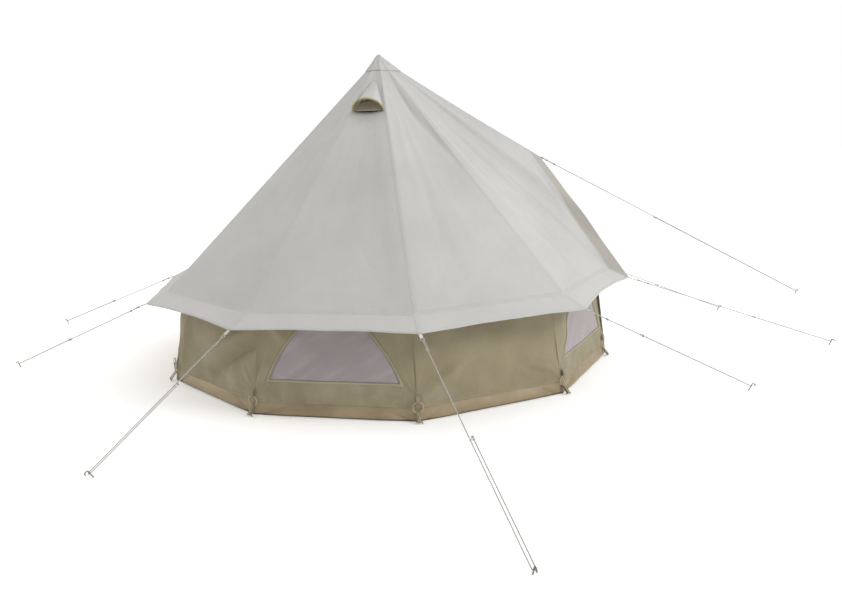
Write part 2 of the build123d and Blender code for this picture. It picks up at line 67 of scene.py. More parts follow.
WALL_LEAN = 0.14  # the walls lean in by this much where they meet the roof
WALL_RADIUS = FLOOR_RADIUS - WALL_LEAN
WALL_JOIN = APEX.z - (APEX.z - SEAM_HEIGHT) * WALL_RADIUS / SEAM_RADIUS
WALL_SLOPE = hypot(WALL_JOIN, WALL_LEAN * cos(SIDE_ANGLE / 2))  # up the middle of a side
WALL_FOOT = 0.104
WALL_HEAD = WALL_SLOPE - 0.009
LIP_TOP = 0.115
LIP_SETBACK = 0.0026

WINDOW_SIDES = (1, 3, 7, 9)
WINDOW_LOW = 0.300
WINDOW_HIGH = 0.760
WINDOW_WIDE = 0.573
WINDOW_NARROW = 0.265
WINDOW_BOW = 0.026
FLAP_SETBACK = 0.009
FLAP_DROP = radians(118)
FLAP_MARGIN = 0.010
FLAP_HINGE_DROP = 0.005

VENT_SIDES = (3, 7)
VENT_DROP = 0.75
VENT_WIDTH = 0.304
VENT_RISE = 0.150
VENT_MARGIN = 0.020
VENT_LENGTH = 0.190
VENT_HOOD_LENGTH = 0.400
CAP_HEIGHT = 0.132
CAP_LIFT = 0.0045
CAP_SWELL = 0.022  # the padding over the pole's tip lifts the cap towards its top
CAP_TOP = 3.026
CAP_TONE = 0.6  # how far the cap's cloth is towards the eave's paler tone


def corner(index, radius, height):
    """A corner of the ten-sided plan.  The door is the side from corner 0 to corner 1."""
    angle = (index - 0.5) * SIDE_ANGLE
    return Vector((radius * cos(angle), radius * sin(angle), height))


def outward(a, b, c):
    """The normal of the plane through three points, away from the inside of the tent."""
    normal = (b - a).cross(c - a).normalized()
    if normal.dot(a - INSIDE) < 0:
        normal.negate()
    return normal


def smooth(value, low, high):
    """From 0 below low to 1 above high, with soft ends."""
    share = min(max((value - low) / (high - low), 0), 1)
    return share * share * (3 - 2 * share)


def ripple(x, y=0.0, z=0.0):
    """Smooth noise, about -1 to 1."""
    return noise.noise(Vector((x, y, z))) * 1.6


def fold_at(spot, low_end, high_end, width):
    """How near a place is to the line of a fold: 1 on it, 0 away from it and past its ends."""
    a, b = Vector(low_end), Vector(high_end)
    run = b - a
    share = (spot - a).dot(run) / run.length_squared
    away = (spot - a.lerp(b, min(max(share, 0), 1))).length
    return exp(-((away / width) ** 2)) * smooth(share, -0.25, 0.3) * smooth(1 - share, -0.25, 0.3)


# ---------------------------------------------------------------- materials
class Shader:
    """A node material under construction."""

    def __init__(self, name):
        self.material = bpy.data.materials.new(name)
        self.material.use_nodes = True
        self.tree = self.material.node_tree
        self.surface = self.tree.nodes["Principled BSDF"]
        self.bumps = []

    def node(self, kind, inputs=(), **settings):
        made = self.tree.nodes.new(kind)
        for key, value in settings.items():
            setattr(made, key, value)
        for key, value in dict(inputs).items():
            self.feed(made.inputs[key], value)
        return made

    def feed(self, socket, value):
        if isinstance(value, bpy.types.NodeSocket):
            self.tree.links.new(value, socket)
        else:
            socket.default_value = value

    def math(self, operation, first, second=0.0):
        made = self.node("ShaderNodeMath", {0: first, 1: second}, operation=operation)
        return made.outputs[0]

    def noise(self, vector, scale, detail=4.0, roughness=0.55):
        values = {"Vector": vector, "Scale": scale, "Detail": detail, "Roughness": roughness}
        return self.node("ShaderNodeTexNoise", values).outputs["Fac"]

    def spread(self, value, low, high, to_low=0.0, to_high=1.0):
        values = {"Value": value, "From Min": low, "From Max": high, "To Min": to_low, "To Max": to_high}
        return self.node("ShaderNodeMapRange", values, clamp=True).outputs["Result"]

    def mix(self, share, first, second):
        made = self.node("ShaderNodeMix", data_type="RGBA")
        self.feed(made.inputs["Factor"], share)
        self.feed(made.inputs[6], first)
        self.feed(made.inputs[7], second)
        return made.outputs[2]

    def attribute(self, name):
        return self.node("ShaderNodeAttribute", attribute_name=name).outputs["Fac"]

    def line(self, value, middle, half_width):
        """1 where a value is within half a width of the middle, fading to 0."""
        away = self.math("ABSOLUTE", self.math("SUBTRACT", value, middle))
        return self.spread(away, half_width * 0.5, half_width, 1.0, 0.0)

    def bump(self, height, distance, strength=1.0):
        values = {"Height": height, "Distance": distance, "Strength": strength}
        made = self.node("ShaderNodeBump", values)
        if self.bumps:
            self.feed(made.inputs["Normal"], self.bumps[-1])
        self.bumps.append(made.outputs["Normal"])

    def finish(self, colour, roughness):
        self.feed(self.surface.inputs["Base Color"], colour)
        self.feed(self.surface.inputs["Roughness"], roughness)
        if self.bumps:
            self.feed(self.surface.inputs["Normal"], self.bumps[-1])
        return self.material


def rgb(red, green, blue):
    return (red, green, blue, 1.0)


def weave_height(shader, place, pitch):
    """Plain weave: over-and-under threads of a pitch, from a place in metres."""
    split = shader.node("ShaderNodeSeparateXYZ", {"Vector": place})
    turns = 2 * pi / pitch
    warp = shader.math("SINE", shader.math("MULTIPLY", split.outputs["X"], turns))
    weft = shader.math("SINE", shader.math("MULTIPLY", split.outputs["Y"], turns))
    return shader.math("MULTIPLY", warp, weft)


def canvas(name, light, dark, band=None, gable=None, low_shade=0.0):
    """Cotton canvas: tone, slubs, weave, felled seams with two rows of stitches, and hems.

    The attribute "seam" is the distance to the nearest sewn seam, "hem" to the nearest
    hem, "band" is 1 where the piece has its second tone, and "gable" is 1 on the gable's
    flaps, which are painted darker as shade.
    """
    shader = Shader(name)
    place = shader.node("ShaderNodeTexCoord")
    solid, flat = place.outputs["Object"], place.outputs["UV"]
    broad = shader.noise(solid, 1.1, 3.0)
    cloud = shader.noise(solid, 7.0, 6.0, 0.62)
    speck = shader.noise(solid, 160.0, 3.0)
    colour = shader.mix(shader.spread(broad, 0.3, 0.7), light, dark)
    colour = shader.mix(shader.spread(cloud, 0.35, 0.75, 0.0, 0.35), colour, dark)
    colour = shader.mix(shader.spread(speck, 0.58, 0.75, 0.0, 0.18), colour, dark)
    if band:
        colour = shader.mix(shader.math("MULTIPLY", shader.attribute("band"), 0.3), colour, band)
    if gable:
        # Painted shade: the gable's flaps are turned towards a darker tan.
        colour = shader.mix(shader.math("MULTIPLY", shader.attribute("gable"), 0.7), colour, gable)
    # Painted shade: below 0.45 m the canvas turns towards a dark brown, in cloudy patches, most strongly at
    # the ground.
    if low_shade:
        height = shader.node("ShaderNodeSeparateXYZ", {"Vector": solid}).outputs["Z"]
        low = shader.spread(height, 0.0, 0.45, 1.0, 0.0)
        low_shade_share = shader.math("MULTIPLY", low, shader.spread(cloud, 0.4, 0.7, 0.0, low_shade))
        colour = shader.mix(low_shade_share, colour, rgb(0.10, 0.08, 0.055))
    along = shader.node("ShaderNodeSeparateXYZ", {"Vector": flat}).outputs["Y"]
    dash = shader.spread(shader.math("SINE", shader.math("MULTIPLY", along, 2 * pi / 0.007)), -0.6, -0.2)
    seam, hem = shader.attribute("seam"), shader.attribute("hem")
    rows = shader.math("MAXIMUM", shader.line(seam, 0.004, 0.0016), shader.line(seam, 0.015, 0.0016))
    hem_row = shader.line(hem, 0.022, 0.0018)
    stitch = shader.math("MULTIPLY", shader.math("MAXIMUM", rows, hem_row), dash)
    doubled = shader.spread(seam, 0.017, 0.019, 1.0, 0.0)
    hemmed = shader.spread(hem, 0.024, 0.027, 1.0, 0.0)
    fold = shader.math("MAXIMUM", doubled, hemmed)
    # Painted shade: a darker line in the groove 20 mm from each sewn seam, beside the felled strip, and along
    # the wall's join.
    groove_shade = shader.line(seam, 0.020, 0.005)
    colour = shader.mix(shader.math("MULTIPLY", fold, 0.22), colour, light)
    colour = shader.mix(shader.math("MULTIPLY", groove_shade, 0.5), colour, dark)
    colour = shader.mix(shader.math("MULTIPLY", stitch, 0.45), colour, dark)
    enlarged = shader.node("ShaderNodeMapping", {"Vector": solid, "Scale": (5.0, 5.0, 5.0)})
    crease = shader.noise(enlarged.outputs[0], 3.2, 5.0, 0.5)
    shader.bump(crease, 0.012, 0.28)
    shader.bump(weave_height(shader, flat, 0.003), 0.0004, 0.5)
    shader.bump(speck, 0.0012, 0.35)
    shader.bump(fold, 0.0018, 0.8)
    shader.bump(stitch, 0.0008, 0.8)
    shader.surface.inputs["Sheen Weight"].default_value = 0.12
    shader.surface.inputs["Sheen Roughness"].default_value = 0.6
    shader.surface.inputs["Specular IOR Level"].default_value = 0.25
    return shader.finish(colour, shader.spread(cloud, 0.2, 0.8, 0.84, 0.95))


def netting(name, hollow, thread, shine, alpha):
    """Fine insect netting: threads over a dim, slightly see-through ground, with painted highlights in
    slanted streaks.
    """
    shader = Shader(name)
    place = shader.node("ShaderNodeTexCoord")
    flat, solid = place.outputs["UV"], place.outputs["Object"]
    split = shader.node("ShaderNodeSeparateXYZ", {"Vector": flat})
    turns = 2 * pi / 0.0016
    warp = shader.math("SINE", shader.math("MULTIPLY", split.outputs["X"], turns))
    weft = shader.math("SINE", shader.math("MULTIPLY", split.outputs["Y"], turns))
    threads = shader.math("MAXIMUM", warp, weft)
    slanted = {"Vector": flat, "Rotation": (0, 0, radians(33)), "Scale": (0.6, 0.11, 1.0)}
    streaks = shader.node("ShaderNodeMapping", slanted, vector_type="TEXTURE")
    sheen = shader.noise(streaks.outputs[0], 1.0, 3.0)
    colour = shader.mix(shader.spread(threads, 0.2, 0.7), hollow, thread)
    # Painted highlight: slanted streaks lighten the netting towards the shine colour.
    colour = shader.mix(shader.spread(sheen, 0.45, 0.75, 0.0, 0.42), colour, shine)
    colour = shader.mix(shader.spread(shader.noise(solid, 3.0), 0.3, 0.7, 0.0, 0.3), colour, hollow)
    shader.bump(threads, 0.0003, 0.5)
    shader.surface.inputs["Alpha"].default_value = alpha
    shader.surface.inputs["Sheen Weight"].default_value = 0.3
    return shader.finish(colour, shader.spread(sheen, 0.3, 0.8, 0.55, 0.75))


def groundsheet(name, light, dark):
    """Coated ripstop: a satin skin over a coarse weave, with creases and scuffs."""
    shader = Shader(name)
    place = shader.node("ShaderNodeTexCoord")
    solid, flat = place.outputs["Object"], place.outputs["UV"]
    cloud = shader.noise(solid, 4.0, 6.0, 0.6)
    scuff = shader.noise(solid, 55.0, 8.0, 0.7)
    colour = shader.mix(shader.spread(cloud, 0.3, 0.72), light, dark)
    colour = shader.mix(shader.spread(scuff, 0.58, 0.78, 0.0, 0.4), colour, rgb(0.42, 0.38, 0.30))
    height = shader.node("ShaderNodeSeparateXYZ", {"Vector": solid}).outputs["Z"]
    ground = shader.spread(height, 0.004, 0.02, 0.85, 0.0)
    colour = shader.mix(ground, colour, rgb(0.025, 0.02, 0.015))
    seam = shader.line(shader.attribute("seam"), 0.004, 0.003)
    colour = shader.mix(shader.math("MULTIPLY", seam, 0.5), colour, dark)
    shader.bump(shader.noise(solid, 9.0, 4.0, 0.5), 0.02, 0.3)
    shader.bump(weave_height(shader, flat, 0.005), 0.0004, 0.4)
    shader.bump(scuff, 0.001, 0.3)
    return shader.finish(colour, shader.spread(scuff, 0.3, 0.75, 0.42, 0.62))


def webbing(name, light, dark):
    """Woven tape: ribs across it and a little fluff."""
    shader = Shader(name)
    solid = shader.node("ShaderNodeTexCoord").outputs["Object"]
    fluff = shader.noise(solid, 260.0, 4.0)
    cloud = shader.noise(solid, 24.0, 4.0)
    woven = {"Vector": solid, "Scale": 330.0, "Distortion": 0.4}
    ribs = shader.node("ShaderNodeTexWave", woven, bands_direction="DIAGONAL")
    colour = shader.mix(shader.spread(cloud, 0.3, 0.7), light, dark)
    colour = shader.mix(shader.spread(ribs.outputs["Fac"], 0.0, 0.4, 0.35, 0.0), colour, dark)
    colour = shader.mix(shader.spread(fluff, 0.6, 0.8, 0.0, 0.3), colour, light)
    shader.bump(ribs.outputs["Fac"], 0.0006, 0.6)
    shader.bump(fluff, 0.0006, 0.4)
    return shader.finish(colour, shader.spread(cloud, 0.3, 0.7, 0.8, 0.95))


def rope_material():
    """Braided cord: two sets of slanted strands."""
    shader = Shader("braided_rope")
    place = shader.node("ShaderNodeTexCoord")
    flat, solid = place.outputs["UV"], place.outputs["Object"]
    split = shader.node("ShaderNodeSeparateXYZ", {"Vector": solid})
    run = shader.math("ADD", split.outputs["X"], shader.math("ADD", split.outputs["Y"], split.outputs["Z"]))
    round_it = shader.node("ShaderNodeSeparateXYZ", {"Vector": flat})
    turn = shader.math("MULTIPLY", round_it.outputs["Y"], 2 * pi * 4)
    pitch = shader.math("MULTIPLY", run, 2 * pi / 0.011)
    left = shader.math("SINE", shader.math("ADD", pitch, turn))
    right = shader.math("SINE", shader.math("SUBTRACT", pitch, turn))
    strands = shader.math("MAXIMUM", left, right)
    fluff = shader.noise(solid, 300.0, 4.0)
    colour = shader.mix(shader.spread(strands, -0.2, 0.7), rgb(0.16, 0.155, 0.14), rgb(0.50, 0.49, 0.47))
    colour = shader.mix(shader.spread(fluff, 0.55, 0.8, 0.0, 0.4), colour, rgb(0.48, 0.46, 0.42))
    shader.bump(strands, 0.0008, 0.7)
    shader.bump(fluff, 0.0005, 0.4)
    return shader.finish(colour, shader.spread(fluff, 0.3, 0.7, 0.78, 0.92))


METAL_MARKS = 90.0             # small dents, how many to the metre
METAL_DRAWN = (1.0, 1.0, 0.12)   # the marks run along the tube


def metal(name, light, dark, rough):
    """Drawn or cast metal: fine lines, dull patches and small marks."""
    shader = Shader(name)
    solid = shader.node("ShaderNodeTexCoord").outputs["Object"]
    stretched = shader.node("ShaderNodeMapping", {"Vector": solid, "Scale": METAL_DRAWN}).outputs[0]
    lines = shader.noise(stretched, 420.0, 3.0)
    patches = shader.noise(solid, 14.0, 6.0, 0.65)
    dents = shader.noise(solid, METAL_MARKS, 5.0, 0.6)
    colour = shader.mix(shader.spread(patches, 0.3, 0.7), light, dark)
    colour = shader.mix(shader.spread(dents, 0.6, 0.75, 0.0, 0.45), colour, dark)
    shader.bump(lines, 0.0003, 0.3)
    shader.bump(dents, 0.0006, 0.25)
    shader.surface.inputs["Metallic"].default_value = 1.0
    return shader.finish(colour, shader.spread(patches, 0.25, 0.75, rough - 0.08, rough + 0.12))


def plastic(name, light, dark, rough):
    """Moulded plastic or rubber: a fine grain, scuffs and dust."""
    shader = Shader(name)
    solid = shader.node("ShaderNodeTexCoord").outputs["Object"]
    grain = shader.noise(solid, 700.0, 2.0)
    scuff = shader.noise(solid, 60.0, 7.0, 0.7)
    colour = shader.mix(shader.spread(scuff, 0.35, 0.75), light, dark)
    shader.bump(grain, 0.0003, 0.4)
    shader.bump(scuff, 0.0004, 0.2)
    return shader.finish(colour, shader.spread(scuff, 0.3, 0.7, rough - 0.08, rough + 0.1))


ROOF_LIGHT, ROOF_DARK = rgb(0.51, 0.507, 0.494), rgb(0.45, 0.446, 0.432)
WALL_LIGHT, WALL_DARK = rgb(0.325, 0.288, 0.192), rgb(0.235, 0.200, 0.122)
roof_canvas = canvas(
    "roof_canvas",
    ROOF_LIGHT,
    ROOF_DARK,
    band=rgb(0.54, 0.536, 0.52),
    # The gable's flaps get a darker tan as painted shade.
    gable=rgb(0.37, 0.335, 0.29),
)
# The walls, door leaves, side panels and flaps get painted shade low down, near the ground.
wall_canvas = canvas("wall_canvas", WALL_LIGHT, WALL_DARK, low_shade=0.35)
binding_canvas = canvas("vent_binding", rgb(0.42, 0.37, 0.17), rgb(0.30, 0.26, 0.12))
window_tape = canvas(
    "window_tape",
    rgb(0.37, 0.325, 0.22),
    rgb(0.28, 0.24, 0.155),
    band=rgb(0.41, 0.37, 0.27),
)
# The third colour of each netting is its painted highlight.
insect_netting = netting(
    "insect_netting",
    rgb(0.27, 0.225, 0.23),
    rgb(0.40, 0.35, 0.36),
    rgb(0.55, 0.50, 0.51),
    0.88,
)
vent_netting = netting(
    "vent_netting",
    rgb(0.38, 0.34, 0.28),
    rgb(0.50, 0.46, 0.39),
    rgb(0.52, 0.48, 0.41),
    0.98,
)
lip_sheet = groundsheet("groundsheet_skin", rgb(0.33, 0.255, 0.15), rgb(0.22, 0.165, 0.092))
floor_sheet = groundsheet("groundsheet_floor_skin", rgb(0.34, 0.27, 0.17), rgb(0.25, 0.20, 0.125))
tan_webbing = webbing("tan_webbing", rgb(0.33, 0.28, 0.19), rgb(0.22, 0.185, 0.12))
white_webbing = webbing("white_webbing", rgb(0.72, 0.70, 0.65), rgb(0.55, 0.53, 0.48))
guy_cord = rope_material()
galvanised = metal("galvanised_steel", rgb(0.62, 0.63, 0.64), rgb(0.42, 0.43, 0.44), 0.38)
ring_steel = metal("nickel_steel", rgb(0.68, 0.67, 0.65), rgb(0.45, 0.44, 0.42), 0.28)
peg_steel = metal("peg_steel", rgb(0.33, 0.32, 0.31), rgb(0.16, 0.14, 0.12), 0.45)
runner_alloy = metal("runner_alloy", rgb(0.75, 0.75, 0.76), rgb(0.55, 0.55, 0.56), 0.34)
zip_alloy = metal("zip_alloy", rgb(0.42, 0.38, 0.30), rgb(0.26, 0.23, 0.18), 0.36)
ring_plastic = plastic("tan_plastic", rgb(0.46, 0.39, 0.28), rgb(0.34, 0.28, 0.20), 0.5)
black_rubber = plastic("black_rubber", rgb(0.035, 0.035, 0.035), rgb(0.08, 0.075, 0.07), 0.7)
black_plastic = plastic("black_plastic", rgb(0.05, 0.05, 0.05), rgb(0.10, 0.10, 0.10), 0.5)


# ---------------------------------------------------------------- pieces
def mesh_piece(name, points, faces, material, body, marks=None, flats=None):
    """A mesh object that rides on a body.  marks are its point attributes by name."""
    mesh = bpy.data.meshes.new(name)
    mesh.from_pydata([tuple(point) for point in points], [], faces)
    for key, values in (marks or {}).items():
        mesh.attributes.new(key, "FLOAT", "POINT").data.foreach_set("value", values)
    if flats:
        layer = mesh.uv_layers.new(name="UVMap")
        for loop in mesh.loops:
            layer.data[loop.index].uv = flats[loop.vertex_index]
    mesh.polygons.foreach_set("use_smooth", [True] * len(mesh.polygons))
    mesh.materials.append(material)
    piece = bpy.data.objects.new(name, mesh)
    bpy.context.scene.collection.objects.link(piece)
    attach(piece, body)
    return piece


BEHIND_SURFACE = -1.0          # the thickness goes wholly behind the sheet


def thicken(piece, thickness):
    solid = piece.modifiers.new("thickness", "SOLIDIFY")
    solid.thickness = thickness
    solid.offset = BEHIND_SURFACE


class Sheet:
    """A grid of points, columns by rows, with the distances its canvas material reads.

    Seen from outside, columns run to the right and rows run down.
    """

    def __init__(self):
        self.points = []
        self.flats = []
        self.faces = []
        self.marks = {"seam": [], "hem": [], "band": [], "gable": []}

    def point(self, place, flat, seam=1.0, hem=1.0, band=0.0):
        self.points.append(place)
        self.flats.append(flat)
        for key, value in (("seam", seam), ("hem", hem), ("band", band), ("gable", 0.0)):
            self.marks[key].append(value)
        return len(self.points) - 1

    def join(self, columns, closed=False, keep=None):
        """Faces between columns of point numbers, left out where keep says no."""
        pairs = list(zip(columns, columns[1:]))
        if closed:
            pairs.append((columns[-1], columns[0]))
        for across, (left, right) in enumerate(pairs):
            for down in range(len(left) - 1):
                if keep is None or keep(across, down):
                    self.faces.append((left[down], left[down + 1], right[down + 1], right[down]))

    def build(self, name, material, body, thickness=CANVAS):
        used = sorted({number for face in self.faces for number in face})
        new = {old: number for number, old in enumerate(used)}
        points = [self.points[number] for number in used]
        flats = [self.flats[number] for number in used]
        marks = {key: [values[number] for number in used] for key, values in self.marks.items()}
        faces = [tuple(new[number] for number in face) for face in self.faces]
        piece = mesh_piece(name, points, faces, material, body, marks, flats)
        if thickness:
            thicken(piece, thickness)
        return piece


# ---------------------------------------------------------------- roof canopy
ROOF_COLUMNS = 36  # in a side
RIDGE_COLUMNS = 26  # in each half of the roof over the door
ROOF_ROWS = 84  # from the apex to the seam
EAVE_ROWS = 9  # from the seam to the edge
ROOF_START = 0.012  # how far down from the apex the canvas starts, as a share
ROOF_SAG = 0.024
ROOF_SLOPE = hypot(SEAM_RADIUS, APEX.z - SEAM_HEIGHT)
SIDE_WIDTH = 2 * SEAM_RADIUS * sin(SIDE_ANGLE / 2)
RIDGE_SAG = 0.012
EAVE_DEPTH = 0.24
GABLE_FLARE = 0.030  # the hood's canvas stands off the open door by this much
SCALLOP = 0.016  # how far the middle of an eave curves in from the line between its tips
DEEP_SCALLOPS = {9: 0.050, 6: 0.026, 5: 0.030, 1: 0.040}
# Broad folds in the roof: side, both ends as a share across and down it, width and depth.
ROOF_FOLDS = [
    (8, (0.70, 0.16), (0.97, 0.44), 0.07, -0.022),
    (8, (0.30, 0.20), (0.12, 0.95), 0.10, 0.012),
    (9, (0.10, 0.16), (0.30, 0.98), 0.16, 0.024),
    (9, (0.78, 0.30), (0.90, 0.80), 0.07, -0.016),
    (9, (0.97, 0.34), (0.93, 0.62), 0.05, 0.012),
    (0, (0.08, 0.30), (0.22, 0.92), 0.07, -0.018),
    (7, (0.85, 0.35), (0.93, 0.95), 0.08, 0.010),
    (6, (0.20, 0.40), (0.12, 0.98), 0.10, 0.014),
    (4, (0.62, 0.30), (0.80, 0.95), 0.10, 0.014),
    (2, (0.35, 0.25), (0.18, 0.95), 0.10, 0.014),
]

# How strongly each side of the roof drapes in long folds down from the apex.
DRAPES = {1: 0.009, 2: 0.008, 3: 0.006, 4: 0.007, 5: 0.008, 6: 0.008, 7: 0.006, 8: 0.013, 9: 0.016, 0: 0.015}


def seam_corner(index):
    return corner(index, SEAM_RADIUS, SEAM_HEIGHT)


def eave_corner(index):
    return corner(index, EAVE_RADIUS, EAVE_HEIGHT)


def panel_ends(side, share):
    """The seam point and the edge point of the roof below a share across a side.

    Side 0 is the roof over the door: its first half runs to the ridge and its second back.
    """
    if side:
        ends = [(seam_corner(index), eave_corner(index)) for index in (side, side + 1)]
    elif share <= 0.5:
        ends = [(seam_corner(0), eave_corner(0)), (DOOR_TOP, HOOD_TIP)]
        share = share * 2
    else:
        ends = [(DOOR_TOP, HOOD_TIP), (seam_corner(1), eave_corner(1))]
        share = share * 2 - 1
    (seam_a, edge_a), (seam_b, edge_b) = ends
    normal = outward(APEX, seam_a, seam_b)
    eave_normal = outward(seam_a, edge_a, edge_b)
    return seam_a.lerp(seam_b, share), edge_a.lerp(edge_b, share), normal, eave_normal, share


def roof_lift(side, part, share, down):
    """How far the canvas stands out from its flat panel: sag, long folds and tip creases."""
    across = sin(pi * share)
    sag = -ROOF_SAG * across * sin(pi * min(down, 1) ** 0.85) * (0.55 if side == 0 else 1)
    fold = ripple(share * 3.1 + side * 5.3 + part * 2.7, down * 0.9 + side, 0.3)
    fold += 0.5 * ripple(share * 7.0 + side * 3.9, down * 1.3, 4.1 + part)
    drape = DRAPES[side] * across ** 0.6 * fold * smooth(down, 0.02, 0.5)
    creases = 0.0
    for end, station in ((0, share), (1, 1 - share)):
        if side == 0 and end != part:
            continue
        aside = station * SIDE_WIDTH * max(down, 0.2)
        above = (1.08 - down) * ROOF_SLOPE
        reach = hypot(aside, above)
        fan = atan2(aside, max(above, 0.001))
        crease = ripple(fan * 10 + side * 2.1 + end * 9.0, reach * 0.8, 8.8)
        creases += 0.013 * exp(-reach / 0.42) * smooth(reach, 0.02, 0.2) * crease
    slack = 0.0016 * ripple(share * 15 + side * 11, down * 11, 2.2) * across
    for owner, high_end, low_end, width, depth in ROOF_FOLDS:
        if owner == side:
            spot = Vector((share if side else (share + part) / 2, down))
            drape += depth * fold_at(spot, high_end, low_end, width) * min(across * 4, 1)
    sewn = 1 - 0.85 * exp(-((down - WALL_RADIUS / SEAM_RADIUS) / 0.03) ** 2)
    return (sag + drape + creases * min(across * 3, 1) + slack) * sewn


def roof_place(side, share, down, lift=0.0):
    """A point of the canopy.  down runs from 0 at the apex to 1 at the seam and 2 at the edge."""
    seam, edge, normal, eave_normal, panel_share = panel_ends(side, share)
    part = 1 if side == 0 and share > 0.5 else 0
    across = sin(pi * panel_share)
    if down <= 1:
        place = APEX.lerp(seam, down) + normal * (roof_lift(side, part, panel_share, down) + lift)
    else:
        beyond = down - 1
        scallop = DEEP_SCALLOPS.get(side, SCALLOP) * across
        edge = edge.lerp(seam, scallop / (edge - seam).length)
        flare = 0.010 * beyond * ripple(panel_share * 5 + side * 4.7 + part, 0.4, 6.1) * across
        pucker = 0.003 * beyond * ripple(panel_share * 26 + side * 7.7, beyond, 1.9) * across
        start = roof_lift(side, part, panel_share, 1) * (1 - beyond)
        if side == 0:
            flare += GABLE_FLARE * beyond * across
        place = seam.lerp(edge, beyond) + normal * start + eave_normal * (flare + pucker + lift)
    if side == 0:
        ridge = panel_share if part == 0 else 1 - panel_share
        place = place - UP * (RIDGE_SAG * ridge ** 2 * sin(pi * min(down, 1)))
    return place


def roof_columns():
    """Side and share across it of every column of the canopy, round from corner 1."""
    stations = []
    for side in range(1, SIDES):
        stations += [(side, number / ROOF_COLUMNS) for number in range(ROOF_COLUMNS)]
    halves = 2 * RIDGE_COLUMNS
    stations += [(0, number / halves) for number in range(halves)]
    return stations


def seam_distance(side, share, down):
    """Distance along the canvas to the nearest seam that runs down the roof, or to the wall's seam."""
    if side:
        near = min(share, 1 - share) * SIDE_WIDTH * min(down, 1)
    else:
        near = min(share, abs(share - 0.5), 1 - share) * 2 * SIDE_WIDTH * min(down, 1)
    return min(near, abs(1 - down) * ROOF_SLOPE) if down < 1 else min(near, (down - 1) * EAVE_DEPTH)


VENT_HOLE_HALF = VENT_WIDTH / 2 - VENT_MARGIN
VENT_HOLE_LENGTH = VENT_LENGTH - 2 * VENT_MARGIN


def vent_place(side, share, down):
    """Across and up the slope from the middle of a vent's mouth, in metres."""
    middle_slope = (seam_corner(side).lerp(seam_corner(side + 1), 0.5) - APEX).length
    return (share - 0.5) * SIDE_WIDTH * down, VENT_DROP - down * middle_slope


def in_vent(side, share, down):
    if side not in VENT_SIDES or down > 1:
        return False
    aside, above = vent_place(side, share, down)
    return above > 0 and hypot(aside / VENT_HOLE_HALF, above / VENT_HOLE_LENGTH) < 1


def build_canopy():
    sheet = Sheet()
    gable_shade_shares = []
    stations = roof_columns()
    downs = [ROOF_START + (1 - ROOF_START) * row / ROOF_ROWS for row in range(ROOF_ROWS + 1)]
    downs += [1 + row / EAVE_ROWS for row in range(1, EAVE_ROWS + 1)]
    columns = []
    for number, (side, share) in enumerate(stations):
        column = []
        for down in downs:
            hem = 1.0 if down <= 1 else (2 - down) * EAVE_DEPTH
            flat = (number * SIDE_WIDTH / ROOF_COLUMNS, down * ROOF_SLOPE)
            band = smooth(down, 1.0, 1.04) if side else 0.0
            # Painted shade on the gable's flaps: the roof over the door, below its seam.
            gable_shade_shares.append(0.0 if side else smooth(down, 1.0, 1.02))
            seam = seam_distance(side, share, down)
            column.append(sheet.point(roof_place(side, share, down), flat, seam, hem, band))
        columns.append(column)

    def keep(across, down):
        side, share = stations[across]
        step = 0.5 / ROOF_COLUMNS
        middle = (downs[down] + downs[down + 1]) / 2
        return not in_vent(side, share + step, middle)

    sheet.join(columns, closed=True, keep=keep)
    sheet.marks["gable"] = gable_shade_shares
    canopy = sheet.build("roof_canopy", roof_canvas, "tent")
    panels = ("roof_panels", "vent_roof_panels", "door_roof_panels", "eave_overhangs", "gable_flaps")
    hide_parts(*panels)


build_canopy()


def build_cap():
    """The doubled cone over the apex, hemmed, on top of the canopy."""
    sheet = Sheet()
    stations = roof_columns()[::2]
    rows = 10
    columns = []
    for number, (side, share) in enumerate(stations):
        foot = panel_ends(side, share)[0]
        reach = CAP_HEIGHT / (APEX.z - foot.z)
        column = []
        for row in range(rows + 1):
            down = reach * (0.03 + 0.97 * row / rows)
            swell = 0.0015 * ripple(number * 0.21, row * 0.3, 3.3) * row / rows
            place = roof_place(side, share, down, CAP_LIFT + swell + CAP_SWELL * (1 - row / rows))
            flat = (number * 0.01, down * ROOF_SLOPE)
            seam = seam_distance(side, share, down)
            column.append(sheet.point(place, flat, seam, (reach - down) * ROOF_SLOPE, CAP_TONE))
        columns.append(column)
    sheet.join(columns, closed=True)
    top = sheet.point(Vector((0, 0, CAP_TOP)), (0, 0), 0.0, 1.0, CAP_TONE)
    for left, right in zip(columns, columns[1:] + columns[:1]):
        sheet.faces.append((top, left[0], right[0]))
    cap = sheet.build("apex_cap_cloth", roof_canvas, "tent")
    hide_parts("apex_cap")


build_cap()


# ---------------------------------------------------------------- vents
def vent_frame(side):
    """The middle of a vent's mouth, and the directions across, up the slope and out of it."""
    a, b = corner(side, SEAM_RADIUS, SEAM_HEIGHT), corner(side + 1, SEAM_RADIUS, SEAM_HEIGHT)
    slope_up = (APEX - a.lerp(b, 0.5)).normalized()
    along = (b - a).normalized()
    return APEX - slope_up * VENT_DROP, along, slope_up, along.cross(slope_up)


